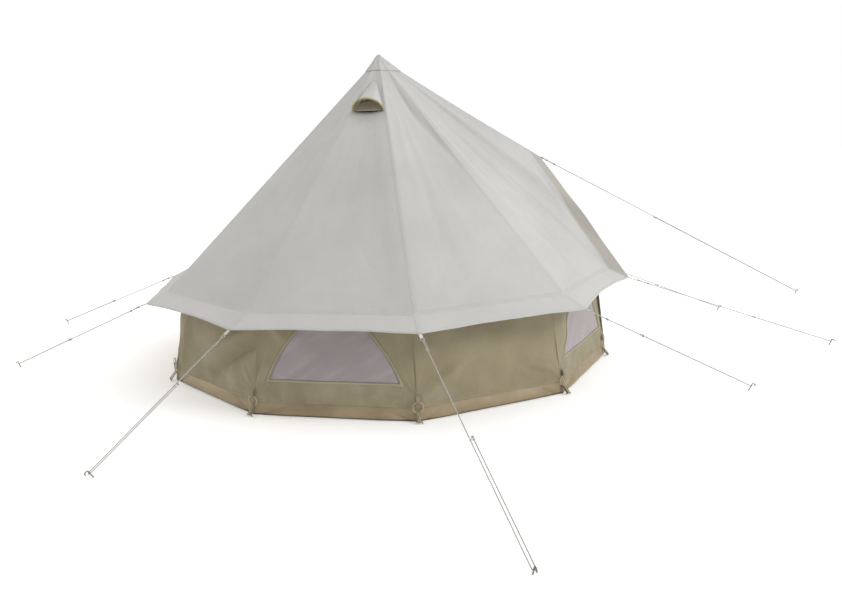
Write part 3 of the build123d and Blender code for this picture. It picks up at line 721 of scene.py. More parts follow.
def build_vent(side):
    middle, along, slope_up, out = vent_frame(side)
    hood = Sheet()
    columns, steps, runs = [], 28, 14
    half = VENT_WIDTH / 2
    for step in range(steps + 1):
        angle = pi * (1 - step / steps)
        column = []
        for run in range(runs, -1, -1):
            share = run / runs
            sag = 1 + 0.03 * ripple(step * 0.3, share * 4, side)
            aside = half * cos(angle) * (1 - share * 0.86) * (sag if 0 < step < steps else 1)
            above = VENT_RISE * sin(angle) * (1 - share) ** 1.45 * sag
            place = middle + along * aside + slope_up * (VENT_HOOD_LENGTH * share) + out * (above + 0.0006)
            edge = min(step, steps - step) * half * pi / steps
            along_hood = share * VENT_HOOD_LENGTH
            column.append(hood.point(place, (step * 0.012, along_hood), edge, along_hood + 0.01))
        columns.append(column)
    hood.join(columns)
    piece = hood.build(f"vent_hood_cloth_{side}", roof_canvas, "tent")
    piece.data.materials.append(binding_canvas)
    piece.modifiers["thickness"].material_offset = 1

    bound = [(half * cos(pi * step / 36), VENT_RISE * sin(pi * step / 36)) for step in range(37)]
    path = [middle + along * x + out * (y + 0.001) - slope_up * 0.001 for x, y in bound]
    tube(f"vent_edge_{side}", path, 0.0080, binding_canvas, "tent")

    net = Sheet()
    net_columns = []
    for step in range(21):
        aside = VENT_HOLE_HALF * 0.985 * (step / 10 - 1)
        top = VENT_HOLE_LENGTH * sqrt(max(1 - (aside / VENT_HOLE_HALF) ** 2, 0.0004))
        column = []
        for row in range(9, -1, -1):
            above = top * row / 9
            belly = 0.0015 + 0.004 * sin(pi * step / 20) * sin(pi * row / 9)
            place = middle + along * aside + slope_up * above - out * belly
            column.append(net.point(place, (aside, above)))
        net_columns.append(column)
    net.join(net_columns)
    vent_net = net.build(f"vent_netting_{side}", vent_netting, "tent", thickness=0.0006)
    return piece, vent_net


TUBE_ROUNDING = 2              # steps in a quarter of a tube


def tube(name, path, radius, material, body, closed=False, kind="POLY"):
    """A round tube along a path."""
    curve = bpy.data.curves.new(name, "CURVE")
    curve.dimensions = "3D"
    line = curve.splines.new(kind)
    line.points.add(len(path) - 1)
    for point, place in zip(line.points, path):
        point.co = (*place, 1)
        point.radius = radius
    line.use_cyclic_u = closed
    if kind == "NURBS":
        line.order_u = 3
        line.use_endpoint_u = not closed
        line.resolution_u = 6
    curve.bevel_depth = 1.0
    curve.bevel_resolution = TUBE_ROUNDING
    curve.use_fill_caps = True
    curve.materials.append(material)
    piece = bpy.data.objects.new(name, curve)
    bpy.context.scene.collection.objects.link(piece)
    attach(piece, body)
    return piece


hoods, nets = zip(*[build_vent(side) for side in VENT_SIDES])
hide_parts("vent_hoods")
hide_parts("vent_meshes")


# ---------------------------------------------------------------- walls
def wall_half(height):
    """Half the length of a wall side at a height."""
    radius = FLOOR_RADIUS - WALL_LEAN * height / WALL_SLOPE
    return radius * sin(SIDE_ANGLE / 2)


def wall_axes(side):
    """A wall side's foot middle, its direction along, up the wall and out of it."""
    a, b = corner(side, FLOOR_RADIUS, 0), corner(side + 1, FLOOR_RADIUS, 0)
    head = corner(side, WALL_RADIUS, WALL_JOIN).lerp(corner(side + 1, WALL_RADIUS, WALL_JOIN), 0.5)
    foot = a.lerp(b, 0.5)
    along = (b - a).normalized()
    rise = (head - foot).normalized()
    return foot, along, rise, along.cross(rise)


FOLD_DEPTH = 3.0  # what the folds' depths are multiplied by
# Deep folds that show in the walls: side, both ends across and up it, width and depth.
WALL_FOLDS = [
    (6, (0.66, 0.62), (0.02, 0.22), 0.055, -0.022),
    (6, (0.60, 0.72), (-0.12, 0.34), 0.050, 0.016),
    (6, (-0.40, 0.80), (-0.58, 0.20), 0.060, 0.014),
    (7, (-0.69, 0.20), (-0.56, 0.46), 0.035, 0.012),
    (7, (-0.62, 0.90), (-0.40, 0.62), 0.040, 0.010),
    (8, (-0.66, 0.20), (-0.28, 0.42), 0.050, 0.012),
    (8, (0.66, 0.22), (0.30, 0.36), 0.050, 0.010),
    (5, (-0.60, 0.24), (0.10, 0.66), 0.060, 0.016),
    (4, (0.64, 0.24), (0.05, 0.58), 0.055, -0.014),
    (2, (-0.64, 0.66), (-0.05, 0.24), 0.055, 0.015),
]


def wall_lift(side, x, height):
    """How far a wall's canvas stands out from its flat panel."""
    half = wall_half(height)
    tall = min(max((height - WALL_FOOT) / (WALL_HEAD - WALL_FOOT), 0), 1)
    from_corner = half - abs(x)
    belly = 0.006 * max(1 - (x / half) ** 2, 0) * sin(pi * tall)
    slack = -0.026 * sin(pi * tall) * (1 - smooth(from_corner, 0.0, 0.16))
    kick = 0.012 * exp(-(((height - 0.17) / 0.05) ** 2)) * (1 - smooth(from_corner, 0.0, 0.14))
    slant = 0.0
    for way, seed in ((1, 0.0), (-1, 7.0)):
        slant += 0.008 * ripple(x * way * 3.4 + height * 4.2 + side * 3.7, (x - way * height) * 0.9, seed)
    fans = 0.0
    for end in (-1, 1):
        for level, strength, seed in ((0.17, 0.017, 3.1), (WALL_HEAD, 0.012, 8.4)):
            aside, above = half - end * x, height - level
            reach = hypot(aside, above)
            angle = atan2(above, aside + 0.001)
            near = exp(-reach / 0.30) * smooth(reach, 0.02, 0.12)
            fans += strength * near * ripple(angle * 4.5 + side * 2.9 + end, seed)
    above_foot = height - WALL_FOOT
    pucker = 0.009 * ripple(x * 13 - height * 9 + side * 9.1, height * 2, 5.5) * exp(-above_foot / 0.13)
    hem = 0.0025 * ripple(x * 32 + side * 4.1, height * 5, 2.5) * exp(-above_foot / 0.04)
    deep = 0.0
    for owner, low_end, high_end, width, depth in WALL_FOLDS:
        if owner == side:
            deep += FOLD_DEPTH * depth * fold_at(Vector((x, height)), low_end, high_end, width)
    pinned = smooth(tall, 0.0, 0.03) * smooth(1 - tall, 0.0, 0.04)
    lift = belly + (slant + fans + pucker + deep) * smooth(from_corner, 0.0, 0.05) * pinned
    lift += (slack + kick) * pinned + abs(hem)
    if side in WINDOW_SIDES:
        clear = smooth(abs(x) - window_half(height), 0.02, 0.08)
        lift = max(lift, -0.0022 - 0.03 * clear)
    return lift


def wall_place(side, x, height, lift=0.0):
    foot, along, rise, out = wall_axes(side)
    return foot + along * x + rise * height + out * (wall_lift(side, x, height) + lift)


def bow_circle():
    """The circle through the ends and the bulge of the window's right side."""
    a = Vector((WINDOW_WIDE, WINDOW_LOW))
    b = Vector(((WINDOW_WIDE + WINDOW_NARROW) / 2 + WINDOW_BOW, (WINDOW_LOW + WINDOW_HIGH + WINDOW_BOW) / 2))
    c = Vector((WINDOW_NARROW, WINDOW_HIGH))
    twice = 2 * (a.x * (b.y - c.y) + b.x * (c.y - a.y) + c.x * (a.y - b.y))
    squares = (a.length_squared, b.length_squared, c.length_squared)
    x = (squares[0] * (b.y - c.y) + squares[1] * (c.y - a.y) + squares[2] * (a.y - b.y)) / twice
    y = (squares[0] * (c.x - b.x) + squares[1] * (a.x - c.x) + squares[2] * (b.x - a.x)) / twice
    centre = Vector((x, y))
    return centre, (a - centre).length


BOW_CENTRE, BOW_RADIUS = bow_circle()


def window_half(height, margin=0.0):
    """Half the width of the window, grown by a margin, at a height."""
    height = min(max(height, WINDOW_LOW - margin), WINDOW_HIGH + margin)
    reach = (BOW_RADIUS + margin) ** 2 - (height - BOW_CENTRE.y) ** 2
    return BOW_CENTRE.x + sqrt(max(reach, 0))


def spaced(low, high, count):
    return [low + (high - low) * number / count for number in range(count + 1)]


HEAD_ROWS = 8  # over the window
WINDOW_ROWS = 20
FOOT_ROWS = 12
WALL_HEIGHTS = spaced(WALL_HEAD, WINDOW_HIGH, HEAD_ROWS)[:-1]
WALL_HEIGHTS += spaced(WINDOW_HIGH, WINDOW_LOW, WINDOW_ROWS)[:-1]
WALL_HEIGHTS += spaced(WINDOW_LOW, WALL_FOOT, FOOT_ROWS)
SIDE_BLOCK = 12  # columns beside a window
WINDOW_BLOCK = 28  # columns across it
WALL_COLUMNS = 2 * SIDE_BLOCK + WINDOW_BLOCK


def wall_station(column, height):
    """Where a column crosses a height: the columns follow the window's sides."""
    half, edge = wall_half(height), window_half(height)
    if column < SIDE_BLOCK:
        return -half + (half - edge) * column / SIDE_BLOCK
    if column > SIDE_BLOCK + WINDOW_BLOCK:
        return edge + (half - edge) * (column - SIDE_BLOCK - WINDOW_BLOCK) / SIDE_BLOCK
    return edge * (2 * (column - SIDE_BLOCK) / WINDOW_BLOCK - 1)


def build_walls():
    sheet = Sheet()
    columns, owners = [], []
    for side in range(1, SIDES):
        last = WALL_COLUMNS + 1 if side == SIDES - 1 else WALL_COLUMNS
        for number in range(last):
            column = []
            for height in WALL_HEIGHTS:
                x = wall_station(number, height)
                seam = min(wall_half(height) - abs(x) + 0.001, WALL_HEAD + 0.01 - height)
                if side in WINDOW_SIDES and WINDOW_LOW - 0.05 < height < WINDOW_HIGH + 0.05:
                    seam = min(seam, max(abs(abs(x) - window_half(height)), 0.01))
                hem = height - WALL_FOOT
                flat = (side * 1.5 + x, height)
                column.append(sheet.point(wall_place(side, x, height), flat, seam, hem, 0.0))
            columns.append(column)
            owners.append((side, number))

    def keep(across, down):
        side, number = owners[across]
        beside = HEAD_ROWS <= down < HEAD_ROWS + WINDOW_ROWS
        within = SIDE_BLOCK <= number < SIDE_BLOCK + WINDOW_BLOCK
        return not (side in WINDOW_SIDES and beside and within)

    sheet.join(columns, keep=keep)
    walls = sheet.build("wall_canvas_ring", wall_canvas, "tent")
    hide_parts("plain_wall_panels", "window_wall_panels")
    height = WALL_HEAD - WALL_FOOT


build_walls()


def window_outline(margin):
    """Points round the window grown by a margin, across and up the wall."""
    low, high = WINDOW_LOW - margin, WINDOW_HIGH + margin
    side_heights = spaced(low, high, 18)
    bottom = [(x, low) for x in spaced(-window_half(low, margin), window_half(low, margin), 24)][:-1]
    right = [(window_half(height, margin), height) for height in side_heights][:-1]
    top = [(x, high) for x in spaced(window_half(high, margin), -window_half(high, margin), 14)][:-1]
    left = [(-window_half(height, margin), height) for height in reversed(side_heights)][:-1]
    return bottom + right + top + left


def build_window(side, number):
    net = Sheet()
    columns = []
    for step in range(29):
        column = []
        for height in spaced(WINDOW_HIGH - 0.001, WINDOW_LOW + 0.001, 16):
            x = (window_half(height) - 0.001) * (step / 14 - 1)
            column.append(net.point(wall_place(side, x, height, -0.0016), (x, height)))
        columns.append(column)
    net.join(columns)
    netting_piece = net.build(f"window_netting_{number}", insect_netting, "tent", thickness=0.0006)

    tape = Sheet()
    loops = [window_outline(margin) for margin in (0.011, 0.005, -0.001, -0.007)]
    tape_columns = []
    for station in range(len(loops[0])):
        column = []
        for lane, loop in enumerate(loops):
            x, height = loop[station]
            proud = 0.0008 if lane in (0, 3) else 0.0016
            pale = 1.0 if height < WINDOW_LOW + 0.012 else 0.0
            edge = (0.0, 0.006, 0.006, 0.0)[lane]
            flat = (lane * 0.006, station * 0.03)
            column.append(tape.point(wall_place(side, x, height, proud), flat, edge, 1.0, pale))
        tape_columns.append(column)
    tape.join([list(reversed(column)) for column in reversed(tape_columns)], closed=True)
    tape.build(f"window_tape_{number}", window_tape, "tent", thickness=0.0016)

    _, along, _, out = wall_axes(side)
    middle = wall_place(side, 0, WINDOW_LOW + 0.075, -0.0012)
    dish = [(0.0, 0.0034), (0.004, 0.0030)]
    rim = [(0.0062, 0.0042), (0.0082, 0.0036), (0.0088, 0.0018), (0.0080, 0.0002)]
    name = f"window_button_{number}"
    lathe(name, dish + rim, middle, out, along, ring_plastic, "tent")
    return netting_piece


LATHE_SIDES = 24


def lathe(name, profile, middle, axis, across, material, body):
    """A profile of (radius, height) turned about an axis."""
    turns = LATHE_SIDES
    beside = axis.cross(across)
    points, faces, rings = [], [], []
    for radius, height in profile:
        ring = []
        for turn in range(turns):
            angle = 2 * pi * turn / turns
            way = across * cos(angle) + beside * sin(angle)
            points.append(middle + axis * height + way * max(radius, 0.0002))
            ring.append(len(points) - 1)
        rings.append(ring)
    for upper, lower in zip(rings, rings[1:]):
        for turn in range(turns):
            after = (turn + 1) % turns
            faces.append((upper[turn], lower[turn], lower[after], upper[after]))
    faces.append(tuple(rings[0]))
    faces.append(tuple(reversed(rings[-1])))
    mesh_piece(name, points, faces, material, body)


for window_number, window_side in enumerate(WINDOW_SIDES, start=1):
    build_window(window_side, window_number)
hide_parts("window_meshes")


# ---------------------------------------------------------------- window flaps
def build_flap(side, number):
    """The canvas flap behind a window, hanging open from the window's lower edge."""
    foot, along, rise, out = wall_axes(side)
    hinge_height = WINDOW_LOW - FLAP_HINGE_DROP
    hinge = foot + rise * hinge_height - out * FLAP_SETBACK
    turn = Matrix.Rotation(-FLAP_DROP, 3, along)
    away = turn @ rise
    face = turn @ out
    low, high = WINDOW_LOW - FLAP_MARGIN, WINDOW_HIGH + FLAP_MARGIN
    sheet = Sheet()
    columns = []
    for step in range(33):
        column = []
        share = step / 16 - 1
        for height in spaced(high, low, 20):
            x = window_half(height, FLAP_MARGIN) * share
            up_flap = height - hinge_height
            tall = (height - low) / (high - low)
            limp = 0.008 * tall * (ripple(share * 2.6 + number * 4.4, tall * 1.5, 3.7) - 0.8)
            limp += 0.0015 * ripple(share * 9 + number, tall * 6, 9.7)
            place = hinge + along * x + away * up_flap + face * (limp * smooth(tall, 0.0, 0.25))
            edge = min(high - height, window_half(height, FLAP_MARGIN) - abs(x))
            column.append(sheet.point(place, (x, height), 1.0, edge, 0.0))
        columns.append(column)
    sheet.join(columns)
    flap = sheet.build(f"window_flap_cloth_{number}", wall_canvas, f"window_flap_{number}")
    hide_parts(f"window_flap_{number}")


for window_number, window_side in enumerate(WINDOW_SIDES, start=1):
    build_flap(window_side, window_number)


# ---------------------------------------------------------------- groundsheet
def build_lip():
    """The groundsheet's upturned edge: it bulges between the corners and folds at them."""
    sheet = Sheet()
    columns = []
    per_side, rows = 44, 10
    for side in range(1, SIDES):
        foot, along, rise, out = wall_axes(side)
        last = per_side + 1 if side == SIDES - 1 else per_side
        for number in range(last):
            x_share = 2 * number / per_side - 1
            column = []
            for row in range(rows + 1):
                height = LIP_TOP * (1 - row / rows) + 0.001
                half = wall_half(height) - LIP_SETBACK * 0.3
                x = half * x_share
                tall = height / LIP_TOP
                from_corner = half - abs(x)
                round_out = sin(pi * min(tall, 1) ** 0.6)
                bulge = 0.024 * round_out * smooth(from_corner, 0.04, 0.26)
                waves = ripple(x * 4 + side * 3.1, tall, 6.6) * smooth(from_corner, 0.05, 0.2)
                bulge += 0.009 * sin(pi * tall) * waves
                end = 1 if x > 0 else -1
                slope_in = 0.06 + (0.22 + 0.10 * ripple(side * 2.0 + end, 0.5)) * tall
                wedge = from_corner - slope_in
                fold = -0.016 * exp(-((wedge / 0.022) ** 2)) * round_out
                place = foot + along * x + rise * height + out * (bulge + fold - LIP_SETBACK)
                column.append(sheet.point(place, (side * 1.5 + x, height), max(LIP_TOP - height, 0.02), 1.0))
            columns.append(column)
    sheet.join(columns)
    lip = sheet.build("groundsheet_lip_cloth", lip_sheet, "tent")
    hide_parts("groundsheet_lip")


build_lip()


def build_floor():
    """The groundsheet's floor, with low creases and lying flat under the pole and the A-frame."""
    sheet = Sheet()
    columns = []
    per_side, rings = 12, 46
    loads = [Vector((0, 0, 0)), ground_under("door_frame_feet", 0), ground_under("door_frame_feet", 1)]
    for number in range(SIDES * per_side):
        side, step = divmod(number, per_side)
        a, b = corner(side, FLOOR_RADIUS - 0.0065, 0), corner(side + 1, FLOOR_RADIUS - 0.0065, 0)
        rim = a.lerp(b, step / per_side)
        column = []
        for ring in range(rings + 1):
            place = rim * (0.004 + 0.996 * ring / rings)
            clear = min((place - load).length for load in loads)
            crease = 0.0045 * abs(ripple(place.x * 2.6, place.y * 2.6, 7.1))
            crease += 0.002 * abs(ripple(place.x * 9, place.y * 9, 2.1))
            lift = crease * smooth(clear, 0.06, 0.3) * smooth(rings - ring, 0, 3)
            column.append(sheet.point(place + UP * (0.002 + lift), (place.x, place.y)))
        columns.append(column)
    sheet.join(columns, closed=True)
    floor_piece = sheet.build("groundsheet_floor_cloth", floor_sheet, "tent", thickness=0.0016)
    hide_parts("groundsheet_floor")


def ground_under(node, which):
    """The middle of one of a node's two parts, on the ground.  The first is on the -Y side."""
    low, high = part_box(node)
    side_y = low[1] if which == 0 else high[1]
    return Vector(((low[0] + high[0]) / 2, side_y, 0))


build_floor()


# ---------------------------------------------------------------- door
DOOR_BASE = [corner(0, FLOOR_RADIUS, 0), corner(1, FLOOR_RADIUS, 0)]
THRESHOLD = DOOR_BASE[0].lerp(DOOR_BASE[1], 0.5)
DOOR_OUT = outward(DOOR_BASE[0], DOOR_BASE[1], DOOR_TOP)
DOOR_GAP = 0.014
MEETING = 0.0035  # from the middle of the door to each leaf's edge
LEAF_NAMES = ("left", "right")


def door_lift(index, share, tall):
    """How far a leaf's canvas stands out of the door's plane."""
    from_zip = (1 - share) * (1 - tall) * DOOR_BASE[1].y
    free = sin(pi * share) * smooth(tall, 0.0, 0.06) * smooth(1 - tall, 0.02, 0.18)
    free *= smooth(from_zip, 0.010, 0.055)
    fold = 0.010 * ripple(share * 2.2 + index * 3.1, tall * 2.4, 4.4)
    fold += 0.006 * ripple(share * 6 + tall * 5, tall * 2, index + 6.2)
    return (0.012 + fold) * free


def door_line(index, share, tall):
    """A point of a leaf: share runs from its slanted edge to the middle, tall up the door."""
    reach = DOOR_GAP / DOOR_TOP.z + (1 - DOOR_GAP / DOOR_TOP.z) * tall
    slanted = DOOR_BASE[index].lerp(DOOR_TOP, reach)
    middle = THRESHOLD.lerp(DOOR_TOP, reach)
    aside = Vector((0, -1 if index == 0 else 1, 0))
    edge = (1 - reach) * DOOR_BASE[1].y
    inset = min(0.003, edge * 0.4)
    first = slanted - aside * inset
    last = middle + aside * min(MEETING, edge * 0.4)
    return first.lerp(last, share)


def build_leaf(index):
    name = LEAF_NAMES[index]
    body = f"door_leaf_{name}"
    sheet = Sheet()
    columns = []
    across, rows = 24, 60
    for step in range(across + 1):
        column = []
        for row in range(rows + 1):
            tall = 0.972 * (1 - row / rows)
            share = step / across
            place = door_line(index, share, tall) + DOOR_OUT * (door_lift(index, share, tall) - 0.0002)
            width = (1 - tall) * DOOR_BASE[1].y
            seam = min(share, 1 - share) * width
            column.append(sheet.point(place, (share * width, tall * 2.1), max(seam, 0.0), tall * 2.1 + 0.004))
        columns.append(column)
    if index == 1:
        columns.reverse()
    sheet.join(columns)
    leaf = sheet.build(f"door_leaf_cloth_{name}", wall_canvas, body)
    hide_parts(body)
    width = DOOR_BASE[1].y


def build_zip(index):
    """One side of the zip: its tape on the leaf's edge and its row of teeth."""
    name = LEAF_NAMES[index]
    aside = Vector((0, -1 if index == 0 else 1, 0))
    tape = Sheet()
    columns = []
    slope = DOOR_TOP - THRESHOLD
    for lane in range(5):
        column = []
        for row in range(61):
            reach = 0.012 + 0.892 * (1 - row / 60)
            offset = 0.0022 + 0.0035 * lane
            place = THRESHOLD + slope * reach + aside * offset + DOOR_OUT * 0.0003
            column.append(tape.point(place, (offset, reach * slope.length), 0.5 if lane in (0, 4) else 0.004))
        columns.append(column)
    if index == 0:
        columns.reverse()
    tape.join(columns)
    piece = tape.build(f"zip_tape_{name}", window_tape, f"door_leaf_{name}", thickness=0.0004)
    thickness = piece.modifiers["thickness"]
    thickness.offset = 0.0
    points, faces = [], []
    pitch, tooth = 0.006, Vector((0.0030, 0.0024, 0.0016))
    run = slope.normalized()
    count = int(slope.length * 0.885 / pitch)
    for number in range(count):
        up_zip = slope * 0.014 + run * (pitch * (number + 0.5 * index))
        middle = THRESHOLD + up_zip + aside * 0.0012 + DOOR_OUT * 0.0006
        start = len(points)
        for z, grow in ((-0.5, 1.0), (0.5, 0.72)):
            for x, y in ((-0.5, -0.5), (0.5, -0.5), (0.5, 0.5), (-0.5, 0.5)):
                flat_way = aside * (x * tooth.x) + run * (y * tooth.y * grow)
                points.append(middle + flat_way + DOOR_OUT * (z * tooth.z))
        for face in ((3, 2, 1, 0), (4, 5, 6, 7), (0, 1, 5, 4), (1, 2, 6, 5), (2, 3, 7, 6), (3, 0, 4, 7)):
            faces.append(tuple(start + number for number in face))
    teeth = mesh_piece(f"zip_teeth_{name}", points, faces, zip_alloy, f"door_leaf_{name}")
    for polygon in teeth.data.polygons:
        polygon.use_smooth = False


for leaf_index in (0, 1):
    build_leaf(leaf_index)
    build_zip(leaf_index)


def build_side_panels():
    """The two tall panels between the last wall corner and the edge of the door."""
    sheet = Sheet()
    for index in (0, 1):
        wall_corner = corner(index, WALL_RADIUS, WALL_JOIN)
        normal = outward(DOOR_BASE[index], wall_corner, DOOR_TOP)
        columns = []
        for step in range(17):
            share = step / 16
            column = []
            for row in range(49):
                tall = 1 - row / 48
                inner = DOOR_BASE[index].lerp(DOOR_TOP, tall * 0.985 + 0.002)
                bend = WALL_JOIN / DOOR_TOP.z
                if tall < bend:
                    outer = DOOR_BASE[index].lerp(wall_corner, tall / bend)
                else:
                    outer = wall_corner.lerp(DOOR_TOP, (tall - bend) / (1 - bend))
                width = (outer - inner).length
                place = inner.lerp(outer, share)
                fold = 0.006 * sin(pi * share) * ripple(tall * 5 + share * 2, index * 3.3, 1.1)
                fold *= smooth(width, 0.01, 0.1)
                edge = min(share, 1 - share) * width
                sag = 0.008 * share * smooth(tall, 0.0, 0.2)
                place = place + normal * (fold - 0.0006) - UP * sag
                column.append(sheet.point(place, (share * width, tall * 2), edge, tall * 2 + 0.004))
            columns.append(column)
        if index == 0:
            columns.reverse()
        sheet.join(columns)
    panels = sheet.build("door_side_cloth", wall_canvas, "tent")
    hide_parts("door_side_panels")


build_side_panels()


def build_sill():
    """The low groundsheet strip across the doorway."""
    sheet = Sheet()
    columns = []
    half = DOOR_BASE[1].y - 0.012
    for step in range(49):
        share = 2 * step / 48 - 1
        column = []
        for row in range(9):
            height = 0.056 * (1 - row / 8) + 0.001
            back = (THRESHOLD.x - DOOR_TOP.x) / DOOR_TOP.z * height
            buckle = 0.006 * ripple(share * 5, height * 9, 3.3) * sin(pi * height / 0.057)
            place = Vector((THRESHOLD.x - back - 0.0085, half * share * (1 - height * 0.5), height))
            place = place + DOOR_OUT * (buckle - abs(buckle))
            column.append(sheet.point(place, (share, height), height + 0.004))
        columns.append(column)
    sheet.join(columns)
    sill = sheet.build("door_sill_cloth", lip_sheet, "tent")
    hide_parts("door_sill")


build_sill()

# ---------------------------------------------------------------- guy lines
GUY_GROUND = [
    (4.51, -0.97),
    (4.25, 0.76),
    (3.18, 2.35),
    (0.15, 4.15),
    (-2.45, 2.98),
    (-4.08, 2.15),
    (-3.97, 0.12),
    (-2.42, -2.92),
    (0.27, -4.58),
    (2.95, -2.12),
    (5.72, 1.42),
]
RUNNER_SHARES = [0.40, 0.46, 0.50, 0.42, 0.52, 0.50, 0.46, 0.62, 0.48, 0.70, 0.62]
ROPE_RADIUS = 0.004
ROPE_SPACING = 0.024
PEG_HEIGHT = 0.034
TAB_REACH = 0.052
RING_REACH = 0.020
RING_RADIUS = 0.016
RING_WIRE = 0.0025
ROPE_REACH = 0.0205
TAIL_LENGTH = 0.022
STRAIGHT_POINT = 12 * ROPE_RADIUS
EYE_LENGTH = 0.105  # from the ring to the knot that closes the rope's eye


def knot_loop(start, along, across, above):
    """The second strand of the eye, out from the ring and back round both in three wraps."""
    wire = start - along * (ROPE_REACH - RING_RADIUS)
    eye = RING_WIRE + ROPE_RADIUS + 0.0008
    path = [wire + along * 0.010 - above * eye, wire - above * eye, wire - along * eye, wire + above * eye]
    path += [wire + along * 0.012 + above * eye + across * 0.004, wire + along * 0.05 + across * 0.013]
    path.append(wire + along * (EYE_LENGTH - 0.03) + across * 0.012)
    path.append(wire + along * (EYE_LENGTH - 0.008) + across * 0.009)
    for turn in range(13):
        angle = turn * pi / 2
        way = across * cos(angle) + above * sin(angle)
        path.append(wire + along * (EYE_LENGTH + turn * 0.0017) + way * (ROPE_RADIUS * 2))
    path.append(wire + along * (EYE_LENGTH + 0.032) + across * 0.014)
    return path


def stopper_knot(middle, along, across, above):
    """An overhand knot drawn tight in the rope's end."""
    path = []
    for step in range(24):
        angle = 2 * pi * step / 24
        x = sin(angle) + 2 * sin(2 * angle)
        y = cos(angle) - 2 * cos(2 * angle)
        z = -sin(3 * angle)
        path.append(middle + across * (x * 0.0026) + above * (y * 0.0026) + along * (z * 0.0042))
    return path


def build_guy(number, tip, ground, share):
    turn = Vector((ground[0], ground[1], PEG_HEIGHT))
    along = (turn - tip).normalized()
    across = UP.cross(along).normalized()
    above = along.cross(across)
    start = tip + along * (TAB_REACH + RING_REACH + ROPE_REACH)
    runner = turn - along * ((turn - start).length * share)
    back = turn + across * ROPE_SPACING
    tail = runner + across * ROPE_SPACING - along * TAIL_LENGTH
    route = [start, start + along * STRAIGHT_POINT, turn - along * STRAIGHT_POINT, turn]
    route += [back, back - along * STRAIGHT_POINT, tail + along * STRAIGHT_POINT, tail]
    rope = tube(f"guy_cord_{number}", route, ROPE_RADIUS, guy_cord, "tent", kind="NURBS")
    rope.data.splines[0].resolution_u = 10
    loop = knot_loop(start, along, across, above)
    eye = tube(f"guy_knot_{number}", loop, ROPE_RADIUS * 0.8, guy_cord, "tent", kind="NURBS")
    end = stopper_knot(tail, along, across, above)
    tight = ROPE_RADIUS * 0.85
    stopper = tube(f"guy_stopper_{number}", end, tight, guy_cord, "tent", closed=True, kind="NURBS")
    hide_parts(f"guy_rope_{number}")


tips = [corner(index, EAVE_RADIUS, EAVE_HEIGHT) for index in range(SIDES)] + [HOOD_TIP]
for guy_number, station in enumerate(zip(tips, GUY_GROUND, RUNNER_SHARES), start=1):
    build_guy(guy_number, *station)

# ---------------------------------------------------------------- kept CAD parts
FINISHES = {
    "pole_lower": galvanised,
    "pole_middle": galvanised,
    "pole_upper": galvanised,
    "pole_foot": black_rubber,
    "pole_tip": black_plastic,
    "door_frame_leg_left": galvanised,
    "door_frame_leg_right": galvanised,
    "door_frame_elbow": galvanised,
    "door_frame_feet": black_rubber,
    "door_zip_slider": zip_alloy,
    "eave_tabs": white_webbing,
    "eave_rings": ring_steel,
    "guy_pegs": peg_steel,
    "wall_peg_rings": ring_plastic,
    "wall_peg_hangers": tan_webbing,
    "wall_peg_straps": tan_webbing,
    "wall_pegs": peg_steel,
}
FINISHES.update({f"guy_runner_{number}": runner_alloy for number in range(1, len(tips) + 1)})
for node_name, finish in FINISHES.items():
    for holder in nodes[node_name].material_slots:
        holder.material = finish

# ---------------------------------------------------------------- floor, light and camera
stage_mesh = bpy.data.meshes.new("stage_floor")
STAGE_REACH = 60.0
STAGE_DEPTH = 0.002  # under the tent
quarters = [(-1, -1), (1, -1), (1, 1), (-1, 1)]
stage_corners = [(x * STAGE_REACH, y * STAGE_REACH, -STAGE_DEPTH) for x, y in quarters]
stage_mesh.from_pydata(stage_corners, [], [(0, 1, 2, 3)])
pale = Shader("pale_floor")
pale_place = pale.node("ShaderNodeTexCoord").outputs["Object"]
pale.surface.inputs["Emission Color"].default_value = rgb(1.0, 1.0, 1.0)
pale.surface.inputs["Emission Strength"].default_value = 0.14
pale_tone = pale.mix(pale.noise(pale_place, 0.4), rgb(0.985, 0.985, 0.985), rgb(0.99, 0.99, 0.99))
stage_mesh.materials.append(pale.finish(pale_tone, 0.9))
stage_floor = bpy.data.objects.new("stage_floor", stage_mesh)
bpy.context.scene.collection.objects.link(stage_floor)

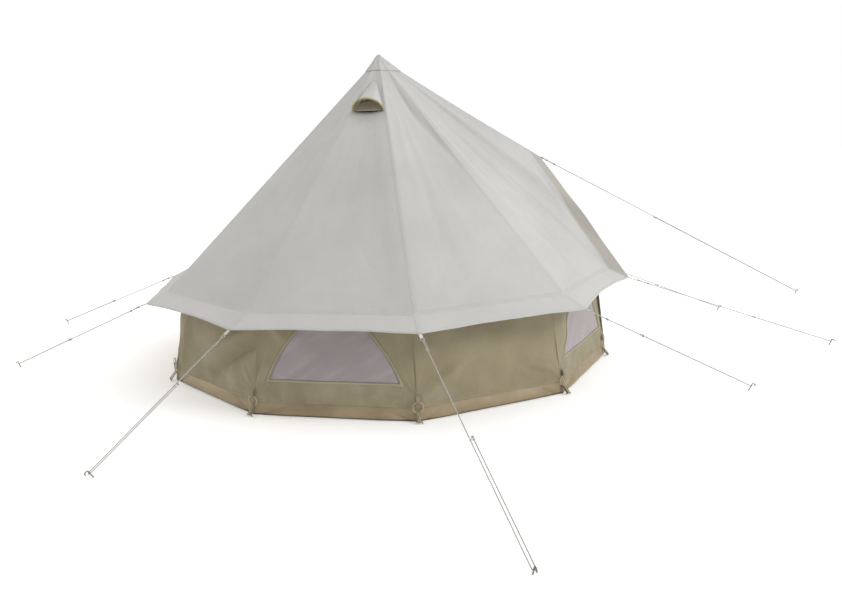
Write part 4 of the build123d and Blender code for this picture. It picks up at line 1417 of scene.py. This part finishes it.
world = bpy.context.scene.world or bpy.data.worlds.new("studio")
bpy.context.scene.world = world
world.use_nodes = True
sky_nodes, sky_links = world.node_tree.nodes, world.node_tree.links
sky_nodes["Background"].inputs["Color"].default_value = rgb(1.0, 1.0, 1.0)
# The light is dimmer from the front left.
SHADED_WAY = (-0.80, -0.60, -0.05)
bearing = sky_nodes.new("ShaderNodeTexCoord")
shaded = sky_nodes.new("ShaderNodeVectorMath")
shaded.operation = "DOT_PRODUCT"
shaded.inputs[1].default_value = SHADED_WAY
strength = sky_nodes.new("ShaderNodeMapRange")
strength.interpolation_type = "SMOOTHSTEP"
for socket, value in (("From Min", 0.1), ("From Max", 0.8), ("To Min", 1.0), ("To Max", 0.60)):
    strength.inputs[socket].default_value = value
sky_links.new(bearing.outputs["Generated"], shaded.inputs[0])
sky_links.new(shaded.outputs["Value"], strength.inputs["Value"])
sky_links.new(strength.outputs["Result"], sky_nodes["Background"].inputs["Strength"])
bpy.context.scene.view_settings.view_transform = "Standard"


def area_light(name, place, target, size, power, colour):
    light = bpy.data.lights.new(name, "AREA")
    light.shape = "DISK"
    light.size = size
    light.energy = power
    light.color = colour
    lamp = bpy.data.objects.new(name, light)
    bpy.context.scene.collection.objects.link(lamp)
    lamp.location = place
    lamp.rotation_euler = (Vector(target) - Vector(place)).to_track_quat("-Z", "Y").to_euler()


area_light("key", (11, -8, 9), (0, 0, 1), 5.0, 800, (1.0, 0.99, 0.97))
area_light("low_sun", (-12, 4, 5), (0, 0, 1.2), 3.0, 330, (1.0, 0.88, 0.72))

CAMERA_PLACE = Vector((-0.743, -7.882, 2.204))
CAMERA_ROLL = radians(-2.07)
camera = bpy.data.cameras.new("camera")
camera.lens = 31.79
camera.sensor_width = 36
camera.shift_x = 0.0378
camera.shift_y = 0.0599
camera.clip_end = 200
viewer = bpy.data.objects.new("camera", camera)
bpy.context.scene.collection.objects.link(viewer)
aim = (-CAMERA_PLACE).to_track_quat("-Z", "Y")
rolled = aim @ Quaternion((0, 0, 1), CAMERA_ROLL)
viewer.matrix_world = Matrix.Translation(CAMERA_PLACE) @ rolled.to_matrix().to_4x4()
bpy.context.scene.camera = viewer
